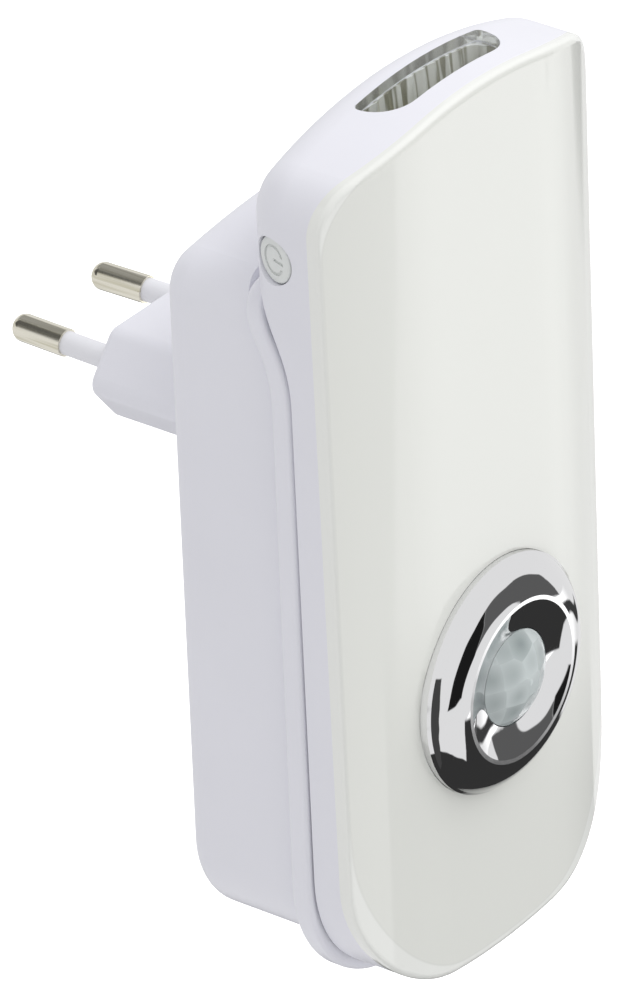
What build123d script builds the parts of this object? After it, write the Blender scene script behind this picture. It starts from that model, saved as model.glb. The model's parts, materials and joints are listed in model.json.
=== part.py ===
from build123d import *

import os
from math import asin, atan, cos, radians, sin, sqrt, tan

# Plug-in night light: a wall dock with a Euro plug and a removable lamp with a torch in its top.
# Millimetres. Origin: centre of the plug's contact face, between the pins.
# +Y points into the wall, +Z up, the front faces -Y. "Depth" below means distance forward, -Y.

os.makedirs("parts", exist_ok=True)

# ---- fits ----------------------------------------------------------------------------
TOUCH = 0.0            # bonded or resting faces
FIT = 0.05             # pressed or located pieces
GAP = 0.3              # between pieces that move past each other
SEAM = 0.4             # visible gap between the lamp and the dock

# ---- overall envelope ----------------------------------------------------------------
LAMP_WIDTH = 60.2
LAMP_TAPER = 2.2       # how much narrower the lamp is at its bottom
LAMP_TOP = 54.5
LAMP_BOTTOM = -78.5
DOCK_BACK = 21.3
TRAY_FRONT = 44.5
LAMP_BACK = TRAY_FRONT + SEAM
LAMP_DEPTH = 10.2      # middle of the front to the back below the head
FRONT_DEPTH = LAMP_BACK + LAMP_DEPTH

# ---- plug (Euro plug pattern) --------------------------------------------------------
PIN_SPACING = 18.6
PIN_TIP_SPACING = 17.5
PIN_LENGTH = 19.0
PIN_RADIUS = 2.0
PIN_TIP_ROUND = 1.6
PIN_CORE_RADIUS = 1.45
PIN_TAIL = 10.0
SLEEVE_LENGTH = 10.0
SLEEVE_RADIUS = 1.7
SLEEVE_CLEARANCE = 0.15
SLEEVE_ROOT = 1.6
NOSE_WIDTH = 35.3
NOSE_HEIGHT = 13.7
NOSE_FLAT = 24.0
NOSE_CORNER = 2.4
NOSE_EDGE = 1.0
NOSE_WALL = 1.8
CARRIER_DEPTH = 6.5

# ---- dock ----------------------------------------------------------------------------
TRAY_INSET = 0.3
TRAY_WIDTH = LAMP_WIDTH - 2 * TRAY_INSET
TRAY_CHIN = 1.4        # how far the tray shows below the lamp
TRAY_BOTTOM = LAMP_BOTTOM - TRAY_CHIN
TRAY_BOTTOM_CORNER = 20.0
TRAY_THICKNESS = 3.5
TRAY_ROUND = 1.2
TRAY_LIP = 0.9
DOCK_INSET = 2.2
DOCK_WIDTH = TRAY_WIDTH - 2 * DOCK_INSET
HEAD_HEIGHT = 21.2     # head above the dock
DOCK_TOP = LAMP_TOP - HEAD_HEIGHT
TRAY_SKIRT = 5.1       # tray below the dock's box
DOCK_BOTTOM = TRAY_BOTTOM + TRAY_SKIRT
DOCK_TOP_ARCH = 150.0
DOCK_TOP_CORNER = 6.0
DOCK_BOTTOM_CORNER = 14.0
DOCK_BACK_ROUND = 4.0
DOCK_WALL = 2.0
STEP_BACK = 7.9        # how far the front falls back behind the head
STEP_LENGTH = 25.5
STEP_RISE = 6.7        # end of the fall above the dock
STEP_HIGH = DOCK_TOP + STEP_RISE
STEP_LOW = STEP_HIGH - STEP_LENGTH
STEP_CLEARANCE = 1.5   # extra height of the lamp's shoulder over the dock's
RAIL_TOP = -26.0
RAIL_START = 6.5
RAIL_BOTTOM = LAMP_BOTTOM + RAIL_START
RAIL_STEM_WIDTH = 8.0
RAIL_HEAD_WIDTH = 14.0
RAIL_HEAD_THICKNESS = 1.2
RAIL_LEAD_IN = 1.5
DOCK_SCREW_SIDE = 7.1
DOCK_SCREW_TAPER = 2.0  # the lower pair sits closer together
DOCK_SCREW_DROP = 18.5
DOCK_SCREW_RISE = 14.8
DOCK_SCREW_UPPER = (DOCK_WIDTH / 2 - DOCK_SCREW_SIDE, DOCK_TOP - DOCK_SCREW_DROP)
DOCK_SCREW_LOWER = (
    DOCK_WIDTH / 2 - DOCK_SCREW_SIDE - DOCK_SCREW_TAPER, DOCK_BOTTOM + DOCK_SCREW_RISE
)
POST_RADIUS = 3.2
POST_LENGTH = 8.6
POST_FLOOR = 3.0
POST_END = DOCK_BACK + POST_LENGTH
POST_SEAT = POST_END - POST_FLOOR
SCREW_HEAD_RADIUS = 2.3
SCREW_HEAD_HEIGHT = 1.6
SCREW_SHANK_RADIUS = 1.2
SCREW_LENGTH = 9.0
SCREW_CLEARANCE = 0.3
CROSS_LENGTH = 2.4
CROSS_WIDTH = 0.6
CROSS_DEPTH = 0.8
CROSS_RATIO = 0.8      # cross recess against the head radius of a small screw

# ---- supply board in the dock --------------------------------------------------------
SUPPLY_SETBACK = 6.9
SUPPLY_FRONT = TRAY_FRONT - SUPPLY_SETBACK
SUPPLY_THICKNESS = 1.2
SUPPLY_MARGIN = 6.5
SUPPLY_WIDTH = DOCK_WIDTH - 2 * SUPPLY_MARGIN
SUPPLY_TOP = 4.0
SUPPLY_BOTTOM = -52.0
SUPPLY_POST_SIDE = 3.0
SUPPLY_POST_DROP = 8.0
SUPPLY_POST_RISE = 5.0
SUPPLY_POST_X = SUPPLY_WIDTH / 2 - SUPPLY_POST_SIDE
SUPPLY_POST_Z = (SUPPLY_TOP - SUPPLY_POST_DROP, SUPPLY_BOTTOM + SUPPLY_POST_RISE)
SUPPLY_POST_RADIUS = 2.2
FILM_SIZE = (18.0, 11.0, 8.0)
FILM_AT = (-6.0, -12.0)
FILM_ROUND = 0.8
BULK_RADIUS = 4.0
BULK_HEIGHT = 12.0
BULK_SIDE = 7.6
BULK_X = BULK_SIDE - SUPPLY_WIDTH / 2
BULK_AT = ((BULK_X, -24.0), (BULK_X, -33.5))
BULK_GROOVE = 0.35
BULK_GROOVE_AT = 2.0
RECTIFIER_SIZE = (6.5, 2.5, 5.0)
RECTIFIER_AT = (11.0, -14.0)
FUSE_RADIUS = 1.9
FUSE_LENGTH = 9.0
FUSE_AT = (10.0, -7.5)
FUSE_LEAD_RADIUS = 0.35
FUSE_LEAD_REACH = 6.5
FUSE_BEND = 0.8
CHOKE_RADIUS = 4.2
CHOKE_CORE_RADIUS = 2.6
CHOKE_HEIGHT = 9.0
CHOKE_FLANGE = 1.2
CHOKE_AT = (2.0, -42.0)
DRIVER_SIZE = (5.0, 1.6, 4.0)
DRIVER_AT = ((2.0, -27.0), (12.0, -27.0))
MAINS_LEAD_RADIUS = 0.9
MAINS_LEAD_REACH = 3.7
MAINS_LEAD_TURN = DOCK_BACK + MAINS_LEAD_REACH
MAINS_LEAD_X = 14.5
MAINS_LEAD_BEND = 2.2

# ---- coils ---------------------------------------------------------------------------
COIL_Z = -7.0
COIL_RADIUS = 13.0
COIL_BORE = 5.0
COIL_THICKNESS = 1.1
COIL_GROOVES = 4
COIL_GROOVE_WIDTH = 0.3
COIL_GROOVE_DEPTH = 0.25
FERRITE_RADIUS = 13.4
FERRITE_THICKNESS = 0.5
COIL_LEAD_RADIUS = 0.3
COIL_LEAD_X = 2.0
COIL_LEAD_DROP = 1.4
COIL_LEAD_BEND = 0.6

# ---- lamp body -----------------------------------------------------------------------
LAMP_TOP_ARCH = 77.0
BOTTOM_ARCH = 93.2
LAMP_TOP_CORNER = 7.8
LAMP_BOTTOM_CORNER = 20.8
LAMP_WALL = 1.8
LAMP_BACK_WALL = 1.6
HEAD_ROUND = 7.0
FACE_SHOULDER = 18.1   # width of the curve at each side of the front
FACE_FLAT = LAMP_WIDTH / 2 - FACE_SHOULDER
FACE_RADIUS = 38.0     # curve of the front towards each side
FACE_SWEEP = 36.0      # degrees of that curve that are drawn
COVER_THICKNESS = 1.6
COVER_EDGE = 1.0
DIFFUSER_THICKNESS = 0.8
PLAN_REAR = 10.0       # how far back the plan views are drawn
REACH_X = 40.0
REACH_Y = 70.0
REACH_Z = 85.0

# ---- rail channel in the lamp --------------------------------------------------------
CHANNEL_WALL = 1.0

# ---- motion sensor and its ring ------------------------------------------------------
SENSOR_Z = -35.25
RING_RADIUS = 17.3
RING_SEAT = 0.3
RING_EDGE = 1.1
RING_EDGE_ROUND = 0.4
RING_CREST_RADIUS = 11.7
RING_CREST = 4.5
RING_CREST_LAND = 0.3
RING_SHOULDER_OUT = 14.8
RING_SHOULDER_UP = 3.45
RING_DISH_RADIUS = 9.4
RING_DISH_UP = 3.75
RING_LIP_UP = 3.2
RING_BORE = 7.05
RING_LIP = 1.2
RING_TUBE_OUTER = 10.0
RING_TUBE_INNER = 8.7
RING_TUBE_REACH = 1.3
TUBE_CLEARANCE = 0.2
RETAINER_RADIUS = 12.6
RETAINER_THICKNESS = 0.8
LENS_RADIUS = 6.9
LENS_RISE = 2.6
LENS_WALL = 0.7
LENS_FLANGE_RADIUS = 8.5
LENS_FLANGE = 0.8
COLLAR_BORE = 6.6
CAN_RADIUS = 4.55
CAN_FLANGE_RADIUS = 4.8
CAN_FLANGE = 0.5
CAN_HEIGHT = 4.2
CAN_ROUND = 0.4
FILTER_SIZE = (4.6, 3.4)
FILTER_DEPTH = 0.3
LIGHT_SENSOR_SIZE = (1.6, 0.8, 1.0)
LIGHT_SENSOR_RISE = 5.6

# ---- main board in the lamp ----------------------------------------------------------
BOARD_STANDOFF = 4.4
BOARD_REAR = LAMP_BACK + BOARD_STANDOFF
BOARD_THICKNESS = 1.0
BOARD_MARGIN = 13.6
BOARD_DROP = 14.5
BOARD_RISE = 20.5
BOARD_WIDTH = LAMP_WIDTH - 2 * BOARD_MARGIN
BOARD_TOP = LAMP_TOP - BOARD_DROP
BOARD_BOTTOM = LAMP_BOTTOM + BOARD_RISE
BOARD_CORNER = 1.5
BOARD_POST_SIDE = 3.4
BOARD_POST_X = BOARD_WIDTH / 2 - BOARD_POST_SIDE
BOARD_POST_Z = (10.5, -26.5)
BOARD_POST_RADIUS = 2.0
SMALL_SCREW_HEAD = 1.6
SMALL_SCREW_HEAD_HEIGHT = 0.7
SMALL_SCREW_SHANK = 0.8
SMALL_SCREW_LENGTH = 2.2
NIGHT_LED_SIZE = (3.5, 0.8, 2.8)
NIGHT_LED_WINDOW_RADIUS = 1.1
NIGHT_LED_WINDOW_DEPTH = 0.2
NIGHT_LED_SIDE = 8.0
NIGHT_LED_X = BOARD_WIDTH / 2 - NIGHT_LED_SIDE
NIGHT_LED_Z = (32.0, 18.0, 4.0, -10.0)
CHIP_SIZE = (6.0, 0.9, 5.0)
CHIP_AT = ((0.0, -50.5), (0.0, 11.0))
PASSIVE_SIZE = (2.0, 0.7, 1.25)
PASSIVE_X = (-12.0, -8.5, 8.5, 12.0)
PASSIVE_Z = (-48.0, -51.5, -55.0)

# ---- rechargeable cell ---------------------------------------------------------------
CELL_MARGIN = 1.0
CELL_SIZE = (BOARD_WIDTH - 2 * CELL_MARGIN, 3.9, 17.0)
CELL_TOP = BOARD_TOP + CELL_MARGIN
CELL_ROUND = 1.2
TAPE_THICKNESS = 0.3
TAPE_MARGIN = 2.0
CELL_STRIP_HEIGHT = 1.6
CELL_STRIP_MARGIN = 4.0
CELL_STRIP_THICKNESS = 1.0
CELL_LEAD_X = 5.0
CELL_LEAD_RADIUS = 0.45
CELL_LEAD_DROP = 1.5
CELL_LEAD_BEND = 0.7

# ---- torch ---------------------------------------------------------------------------
WINDOW_LENGTH = 27.8
WINDOW_WIDTH = 6.3
WINDOW_MIDDLE = 1.3    # the window sits a little to the right
WINDOW_REAR = 6.7      # from the back of the head
WINDOW_CORNER = 5.4
WINDOW_BACK_CORNER = 0.8
WINDOW_THICKNESS = 1.5
REFLECTOR_LENGTH = 30.5
REFLECTOR_WIDTH = 8.8
TORCH_HEIGHT = 10.9
TORCH_BOARD_TOP = LAMP_TOP - TORCH_HEIGHT
TORCH_BOARD_THICKNESS = 1.0
CUP_SPACING = 2.65
CUP_COUNT = 9          # overlapping cups that flute the reflector's walls
CUPS_PER_LED = 3
CUP_FOOT_RADIUS = 2.3
CUP_MOUTH_RADIUS = 3.1
CUP_HEIGHT = 9.3
TORCH_LED_SIZE = 3.0
TORCH_LED_BASE = 0.6
TORCH_LED_DOME = 1.2
TORCH_LEAD_X = 3.0
TORCH_LEAD_RADIUS = 0.35
TORCH_LEAD_DROP = 0.9
TORCH_LEAD_BEND = 0.5

# ---- power button --------------------------------------------------------------------
BUTTON_DROP = 16.5
BUTTON_Z = LAMP_TOP - BUTTON_DROP
BUTTON_SETBACK = 5.4   # from the back of the head
BUTTON_TURN = 19.0     # degrees the button faces backwards
BUTTON_RADIUS = 3.35
BUTTON_GAP = 0.15
BUTTON_SINK = 0.65     # its flat face lies below the crown of the rounded side
BUTTON_EDGE = 0.35
BUTTON_TRAVEL = 0.5
BUTTON_BOSS_RADIUS = 5.2
BUTTON_BOSS_END = 2.4
BUTTON_FLANGE_LENGTH = 10.4
BUTTON_FLANGE_WIDTH = 4.0
BUTTON_FLANGE = 0.6
BUTTON_STEM_RADIUS = 1.2
SYMBOL_RADIUS = 2.0
SYMBOL_STROKE = 0.45
SYMBOL_GAP = 1.7
SYMBOL_BAR = 2.2
SYMBOL_DEPTH = 0.25
SWITCH_SIZE = 4.5
SWITCH_THICKNESS = 2.4
SWITCH_AT = 5.2
PLUNGER_RADIUS = 0.9
PLUNGER_PROUD = 0.9
PLUNGER_SINK = 0.4
SHELF_THICKNESS = 1.0
SHELF_REACH = 9.0
SWITCH_BOARD_LENGTH = 8.0
SWITCH_BOARD_WIDTH = 5.5
SWITCH_BOARD_THICKNESS = 1.0
SWITCH_LEAD_RADIUS = 0.3
SWITCH_LEAD_Z = 1.5
SWITCH_LEAD_BEND = 0.8

# ---- lamp screws ---------------------------------------------------------------------
LAMP_SCREW_SIDE = 7.5
LAMP_SCREW_X = LAMP_WIDTH / 2 - LAMP_SCREW_SIDE
LAMP_SCREW_Z = (8.0, -52.0)
LAMP_POST_RADIUS = 3.0
LAMP_POST_LENGTH = 3.0
LAMP_SCREW_INSET = 1.4
LAMP_POST_END = LAMP_BACK + LAMP_POST_LENGTH
LAMP_SCREW_SEAT = LAMP_BACK + LAMP_SCREW_INSET
LAMP_SCREW_HEAD = 1.9
LAMP_SCREW_HEAD_HEIGHT = 1.1
LAMP_SCREW_SHANK = 0.9
LAMP_SCREW_LENGTH = 3.2
LAMP_BOSS_RADIUS = 2.2


# ---- shared geometry -----------------------------------------------------------------
def at_depth(depth):
    """plane facing the front, a given distance forward of the plug face"""
    return Plane.XZ.offset(depth)


def arch_drop(radius, half_width):
    """how far an arch of this radius falls by the given half width"""
    return radius - sqrt(radius**2 - half_width**2)


def arched_outline(top_width, bottom_width, top, bottom, top_arch, top_corner, bottom_corner):
    """front outline with an arched top and bottom and rounded corners"""
    top_half = top_width / 2
    bottom_half = bottom_width / 2
    top_side = top - arch_drop(top_arch, top_half)
    bottom_side = bottom + arch_drop(BOTTOM_ARCH, bottom_half)
    with BuildSketch(Plane.XY) as outline:
        with BuildLine():
            ThreePointArc((-top_half, top_side), (0, top), (top_half, top_side))
            Line((top_half, top_side), (bottom_half, bottom_side))
            ThreePointArc((bottom_half, bottom_side), (0, bottom), (-bottom_half, bottom_side))
            Line((-bottom_half, bottom_side), (-top_half, top_side))
        make_face()
        fillet(outline.vertices().sort_by(Axis.Y)[2:], radius=top_corner)
        fillet(outline.vertices().sort_by(Axis.Y)[:2], radius=bottom_corner)
    return outline.sketch


def lamp_outline(inset=0.0):
    """outline of the lamp, or the same outline set in by a wall"""
    return arched_outline(
        LAMP_WIDTH - 2 * inset, LAMP_WIDTH - LAMP_TAPER - 2 * inset, LAMP_TOP - inset,
        LAMP_BOTTOM + inset, LAMP_TOP_ARCH - inset, LAMP_TOP_CORNER - inset,
        LAMP_BOTTOM_CORNER - inset,
    )


def dock_outline(inset=0.0):
    """outline of the dock's box, or the same outline set in by a wall"""
    return arched_outline(
        DOCK_WIDTH - 2 * inset, DOCK_WIDTH - 2 * inset, DOCK_TOP - inset, DOCK_BOTTOM + inset,
        DOCK_TOP_ARCH - inset, DOCK_TOP_CORNER - inset, DOCK_BOTTOM_CORNER - inset,
    )


def tray_outline():
    """outline of the dock's proud front rim"""
    return arched_outline(
        TRAY_WIDTH, TRAY_WIDTH, DOCK_TOP, TRAY_BOTTOM, DOCK_TOP_ARCH, DOCK_TOP_CORNER,
        TRAY_BOTTOM_CORNER,
    )


def nose_outline(inset=0.0):
    """six-sided outline of the plug nose, or the same outline set in by a wall"""
    flat = NOSE_FLAT / 2 - inset / 2
    half_width = NOSE_WIDTH / 2 - inset * sqrt(2)
    half_height = NOSE_HEIGHT / 2 - inset
    with BuildSketch(Plane.XY) as outline:
        Polygon(
            (half_width, 0), (flat, half_height), (-flat, half_height), (-half_width, 0),
            (-flat, -half_height), (flat, -half_height), align=None,
        )
        fillet(outline.vertices(), radius=NOSE_CORNER - inset)
    return outline.sketch


def window_outline(grow=0.0):
    """plan outline of the torch window, square behind and rounded in front"""
    with BuildSketch(Plane.XY) as outline:
        with Locations((WINDOW_MIDDLE, -TORCH_DEPTH)):
            Rectangle(WINDOW_LENGTH + 2 * grow, WINDOW_WIDTH + 2 * grow)
        fillet(outline.vertices().sort_by(Axis.Y)[:2], radius=WINDOW_CORNER + grow)
        fillet(outline.vertices().sort_by(Axis.Y)[-2:], radius=WINDOW_BACK_CORNER + grow)
    return outline.sketch


def ahead_of_step(depth, raised=0.0):
    """side view of everything in front of a back line that falls back under the head"""
    low = -depth
    high = low + STEP_BACK
    start = STEP_LOW + raised
    finish = STEP_HIGH + raised
    middle = (start + finish) / 2
    with BuildSketch(Plane.XY) as side_view:
        with BuildLine():
            Line((low, -REACH_Z), (low, start))
            Bezier((low, start), (low, middle), (high, middle), (high, finish))
            Polyline((high, finish), (high, REACH_Z), (-REACH_Y, REACH_Z), (-REACH_Y, -REACH_Z),
                     (low, -REACH_Z))
        make_face()
    return side_view.sketch


def behind_face(setback):
    """plan view of everything behind the front face set back by a thickness"""
    radius = FACE_RADIUS - setback
    face = -(FRONT_DEPTH - setback)
    with BuildSketch(Plane.XY) as plan:
        with BuildLine():
            Line((0, face), (FACE_FLAT, face))
            side = JernArc(start=(FACE_FLAT, face), tangent=(1, 0), radius=radius, arc_size=FACE_SWEEP)
            Polyline(side @ 1, ((side @ 1).X, -PLAN_REAR), (0, -PLAN_REAR))
            mirror(about=Plane.YZ)
        make_face()
    return plan.sketch


def face_depth(x, setback=0.0):
    """depth of the front face, or of a layer behind it, at a distance from the middle"""
    return FRONT_DEPTH - setback - arch_drop(FACE_RADIUS - setback, max(abs(x) - FACE_FLAT, 0))


def both_sides(points):
    """the given points and their mirror images across the middle"""
    return [(side * x, z) for side in (-1, 1) for x, z in points]


def pin_plane(side):
    """plane at the root of a pin, its normal along the pin, which leans towards its partner"""
    lean = atan((PIN_SPACING - PIN_TIP_SPACING) / 2 / PIN_LENGTH)
    return Plane(
        origin=(side * PIN_SPACING / 2, 0, 0), x_dir=(0, 0, 1), z_dir=(-side * sin(lean), cos(lean), 0)
    )


def leads(routes, radius, bend):
    """round leads along straight runs joined by tangent bends"""
    with BuildPart() as wires:
        for points in routes:
            with BuildLine() as path:
                FilletPolyline(*points, radius=bend)
            with BuildSketch(Plane(origin=path.line @ 0, z_dir=path.line % 0)):
                Circle(radius)
            sweep(path=path.line)
    return wires.part


def cross_cuts(points, plane, length, width, depth):
    """cross recesses for the heads of a group of screws"""
    with BuildPart() as cuts:
        with BuildSketch(plane):
            with Locations(*points):
                Rectangle(length, width)
                Rectangle(width, length)
        extrude(amount=depth)
    return cuts.part


TRAY_REAR = TRAY_FRONT - TRAY_THICKNESS
HEAD_BACK = LAMP_BACK - STEP_BACK
SUPPLY_REAR = SUPPLY_FRONT - SUPPLY_THICKNESS
BOARD_FRONT = BOARD_REAR + BOARD_THICKNESS
COVER_REAR = FRONT_DEPTH - COVER_THICKNESS
DIFFUSER_REAR = COVER_REAR - DIFFUSER_THICKNESS
CHANNEL_FLOOR = LAMP_BACK + LAMP_BACK_WALL
RAIL_HEAD_BACK = CHANNEL_FLOOR + GAP
RAIL_HEAD_FRONT = RAIL_HEAD_BACK + RAIL_HEAD_THICKNESS
CHANNEL_COVER = RAIL_HEAD_FRONT + GAP
CHANNEL_TOP = RAIL_TOP + GAP
RING_FACE = FRONT_DEPTH - RING_SEAT
RING_TUBE_END = DIFFUSER_REAR - RING_TUBE_REACH
DOCK_SCREWS_AT = both_sides([DOCK_SCREW_UPPER, DOCK_SCREW_LOWER])
LAMP_SCREWS_AT = both_sides([(LAMP_SCREW_X, z) for z in LAMP_SCREW_Z])
BOARD_SCREWS_AT = both_sides([(BOARD_POST_X, z) for z in BOARD_POST_Z])
SUPPLY_POSTS_AT = both_sides([(SUPPLY_POST_X, z) for z in SUPPLY_POST_Z])
SENSOR_AXIS = Axis((0, 0, SENSOR_Z), (0, 1, 0))
TORCH_DEPTH = HEAD_BACK + WINDOW_REAR + WINDOW_WIDTH / 2
CUPS_AT = [
    (WINDOW_MIDDLE + (cup - (CUP_COUNT - 1) / 2) * CUP_SPACING, -TORCH_DEPTH)
    for cup in range(CUP_COUNT)
]
TORCH_LEDS_AT = CUPS_AT[CUPS_PER_LED // 2::CUPS_PER_LED]


# ---- plug ----------------------------------------------------------------------------
def plug_pin(side):
    """metal pin with a rounded tip, a thinner core under its sleeve and a tail inside the plug"""
    with BuildPart() as pin:
        with BuildSketch(pin_plane(side).offset(-PIN_TAIL)):
            Circle(PIN_CORE_RADIUS)
        extrude(amount=PIN_TAIL + SLEEVE_LENGTH)
        with BuildSketch(pin_plane(side).offset(SLEEVE_LENGTH)):
            Circle(PIN_RADIUS)
        extrude(amount=PIN_LENGTH - SLEEVE_LENGTH)
        fillet(pin.edges().group_by(Axis.Y)[-1], radius=PIN_TIP_ROUND)
    return pin.part


def pin_sleeve(side):
    """white insulating sleeve around the root of a pin"""
    with BuildPart() as sleeve:
        with BuildSketch(pin_plane(side).offset(-SLEEVE_ROOT)):
            Circle(SLEEVE_RADIUS)
            Circle(PIN_CORE_RADIUS + FIT, mode=Mode.SUBTRACT)
        extrude(amount=SLEEVE_ROOT + SLEEVE_LENGTH)
    return sleeve.part


plug_pin_left = plug_pin(-1)
plug_pin_right = plug_pin(1)
pin_sleeve_left = pin_sleeve(-1)
pin_sleeve_right = pin_sleeve(1)


with BuildPart() as pin_carrier:
    with BuildSketch(at_depth(NOSE_WALL)):
        add(nose_outline(NOSE_WALL + FIT))
    extrude(amount=CARRIER_DEPTH)
    for end in (-1, 1):
        with BuildSketch(pin_plane(end)):
            Circle(PIN_CORE_RADIUS + FIT)
        extrude(amount=-PIN_TAIL, mode=Mode.SUBTRACT)

# ---- dock back shell -----------------------------------------------------------------
with BuildPart() as dock_shell:
    with BuildSketch(at_depth(DOCK_BACK)):
        add(dock_outline())
    extrude(amount=TRAY_REAR - DOCK_BACK)
    fillet(dock_shell.faces().sort_by(Axis.Y)[-1].edges(), radius=DOCK_BACK_ROUND)
    with BuildSketch(Plane.XZ):
        add(nose_outline())
    extrude(amount=DOCK_BACK + DOCK_WALL)
    fillet(dock_shell.faces().sort_by(Axis.Y)[-1].edges(), radius=NOSE_EDGE)
    with BuildSketch(at_depth(DOCK_BACK + DOCK_WALL)):
        add(dock_outline(DOCK_WALL))
    extrude(amount=TRAY_REAR, mode=Mode.SUBTRACT)
    with BuildSketch(at_depth(NOSE_WALL)):
        add(nose_outline(NOSE_WALL))
    extrude(amount=DOCK_BACK + DOCK_WALL - NOSE_WALL, mode=Mode.SUBTRACT)
    with BuildSketch(at_depth(DOCK_BACK + DOCK_WALL / 2)):
        with Locations(*DOCK_SCREWS_AT):
            Circle(POST_RADIUS)
    extrude(amount=POST_END - DOCK_BACK - DOCK_WALL / 2)
    with BuildSketch(at_depth(DOCK_BACK)):
        with Locations(*DOCK_SCREWS_AT):
            Circle(SCREW_HEAD_RADIUS + SCREW_CLEARANCE)
    extrude(amount=POST_SEAT - DOCK_BACK, mode=Mode.SUBTRACT)
    with BuildSketch(at_depth(DOCK_BACK)):
        with Locations(*DOCK_SCREWS_AT):
            Circle(SCREW_SHANK_RADIUS + SCREW_CLEARANCE)
    extrude(amount=POST_END - DOCK_BACK, mode=Mode.SUBTRACT)
    for end in (-1, 1):
        with BuildSketch(pin_plane(end)):
            Circle(SLEEVE_RADIUS + SLEEVE_CLEARANCE)
        extrude(amount=NOSE_WALL * 2, both=True, mode=Mode.SUBTRACT)
    with BuildSketch(Plane.YZ):
        add(ahead_of_step(TRAY_REAR))
    extrude(amount=REACH_X, both=True, mode=Mode.SUBTRACT)

# ---- dock front tray with the hanging rail -------------------------------------------
with BuildPart() as dock_tray:
    with BuildSketch(at_depth(TRAY_REAR - STEP_BACK)):
        add(tray_outline())
    extrude(amount=TRAY_THICKNESS + STEP_BACK)
    with BuildSketch(Plane.YZ):
        add(ahead_of_step(TRAY_REAR))
    extrude(amount=REACH_X, both=True, mode=Mode.INTERSECT)
    with BuildSketch(Plane.YZ):
        add(ahead_of_step(TRAY_FRONT))
    extrude(amount=REACH_X, both=True, mode=Mode.SUBTRACT)
    fillet(dock_tray.faces().filter_by(Axis.Y).sort_by(Axis.Y)[-1].edges(), radius=TRAY_ROUND)
    fillet(dock_tray.faces().filter_by(Axis.Y).sort_by(Axis.Y)[0].edges(), radius=TRAY_LIP)
    with BuildSketch(at_depth(TRAY_FRONT)):
        with Locations((0, (RAIL_TOP + RAIL_BOTTOM) / 2)):
            Rectangle(RAIL_STEM_WIDTH, RAIL_TOP - RAIL_BOTTOM)
    extrude(amount=RAIL_HEAD_FRONT - TRAY_FRONT)
    with BuildSketch(at_depth(RAIL_HEAD_BACK)):
        with Locations((0, (RAIL_TOP + RAIL_BOTTOM) / 2)):
            Rectangle(RAIL_HEAD_WIDTH, RAIL_TOP - RAIL_BOTTOM)
        chamfer(vertices().group_by(Axis.Y)[-1], length=RAIL_LEAD_IN)
    extrude(amount=RAIL_HEAD_THICKNESS)
    with BuildSketch(at_depth(POST_END + FIT)):
        with Locations(*DOCK_SCREWS_AT):
            Circle(POST_RADIUS)
    extrude(amount=TRAY_REAR - POST_END)
    with BuildSketch(at_depth(POST_END + FIT)):
        with Locations(*DOCK_SCREWS_AT):
            Circle(SCREW_SHANK_RADIUS + FIT)
    extrude(amount=SCREW_LENGTH, mode=Mode.SUBTRACT)
    with BuildSketch(at_depth(SUPPLY_FRONT)):
        with Locations(*SUPPLY_POSTS_AT):
            Circle(SUPPLY_POST_RADIUS)
    extrude(amount=TRAY_REAR - SUPPLY_FRONT)
    with BuildSketch(at_depth(SUPPLY_FRONT)):
        with Locations(*SUPPLY_POSTS_AT):
            Circle(SMALL_SCREW_SHANK + FIT)
    extrude(amount=SMALL_SCREW_LENGTH, mode=Mode.SUBTRACT)

dock_screw_cuts = cross_cuts(
    DOCK_SCREWS_AT, at_depth(POST_SEAT - SCREW_HEAD_HEIGHT), CROSS_LENGTH, CROSS_WIDTH, CROSS_DEPTH
)
with BuildPart() as dock_screws:
    with BuildSketch(at_depth(POST_SEAT - SCREW_HEAD_HEIGHT)):
        with Locations(*DOCK_SCREWS_AT):
            Circle(SCREW_HEAD_RADIUS)
    extrude(amount=SCREW_HEAD_HEIGHT)
    with BuildSketch(at_depth(POST_SEAT)):
        with Locations(*DOCK_SCREWS_AT):
            Circle(SCREW_SHANK_RADIUS)
    extrude(amount=SCREW_LENGTH)
    add(dock_screw_cuts, mode=Mode.SUBTRACT)

# ---- supply board and its parts ------------------------------------------------------
with BuildPart() as supply_board:
    with BuildSketch(at_depth(SUPPLY_REAR)):
        with Locations((0, (SUPPLY_TOP + SUPPLY_BOTTOM) / 2)):
            RectangleRounded(SUPPLY_WIDTH, SUPPLY_TOP - SUPPLY_BOTTOM, BOARD_CORNER)
        with Locations(*SUPPLY_POSTS_AT):
            Circle(SMALL_SCREW_SHANK + SCREW_CLEARANCE, mode=Mode.SUBTRACT)
    extrude(amount=SUPPLY_THICKNESS)

supply_screw_cuts = cross_cuts(
    SUPPLY_POSTS_AT, at_depth(SUPPLY_REAR - SMALL_SCREW_HEAD_HEIGHT), SMALL_SCREW_HEAD * CROSS_RATIO,
    SMALL_SCREW_SHANK / 2, SMALL_SCREW_HEAD_HEIGHT / 2,
)
with BuildPart() as supply_screws:
    with BuildSketch(at_depth(SUPPLY_REAR - SMALL_SCREW_HEAD_HEIGHT)):
        with Locations(*SUPPLY_POSTS_AT):
            Circle(SMALL_SCREW_HEAD)
    extrude(amount=SMALL_SCREW_HEAD_HEIGHT)
    with BuildSketch(at_depth(SUPPLY_REAR)):
        with Locations(*SUPPLY_POSTS_AT):
            Circle(SMALL_SCREW_SHANK)
    extrude(amount=SMALL_SCREW_LENGTH + SUPPLY_THICKNESS / 2)
    add(supply_screw_cuts, mode=Mode.SUBTRACT)


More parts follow.
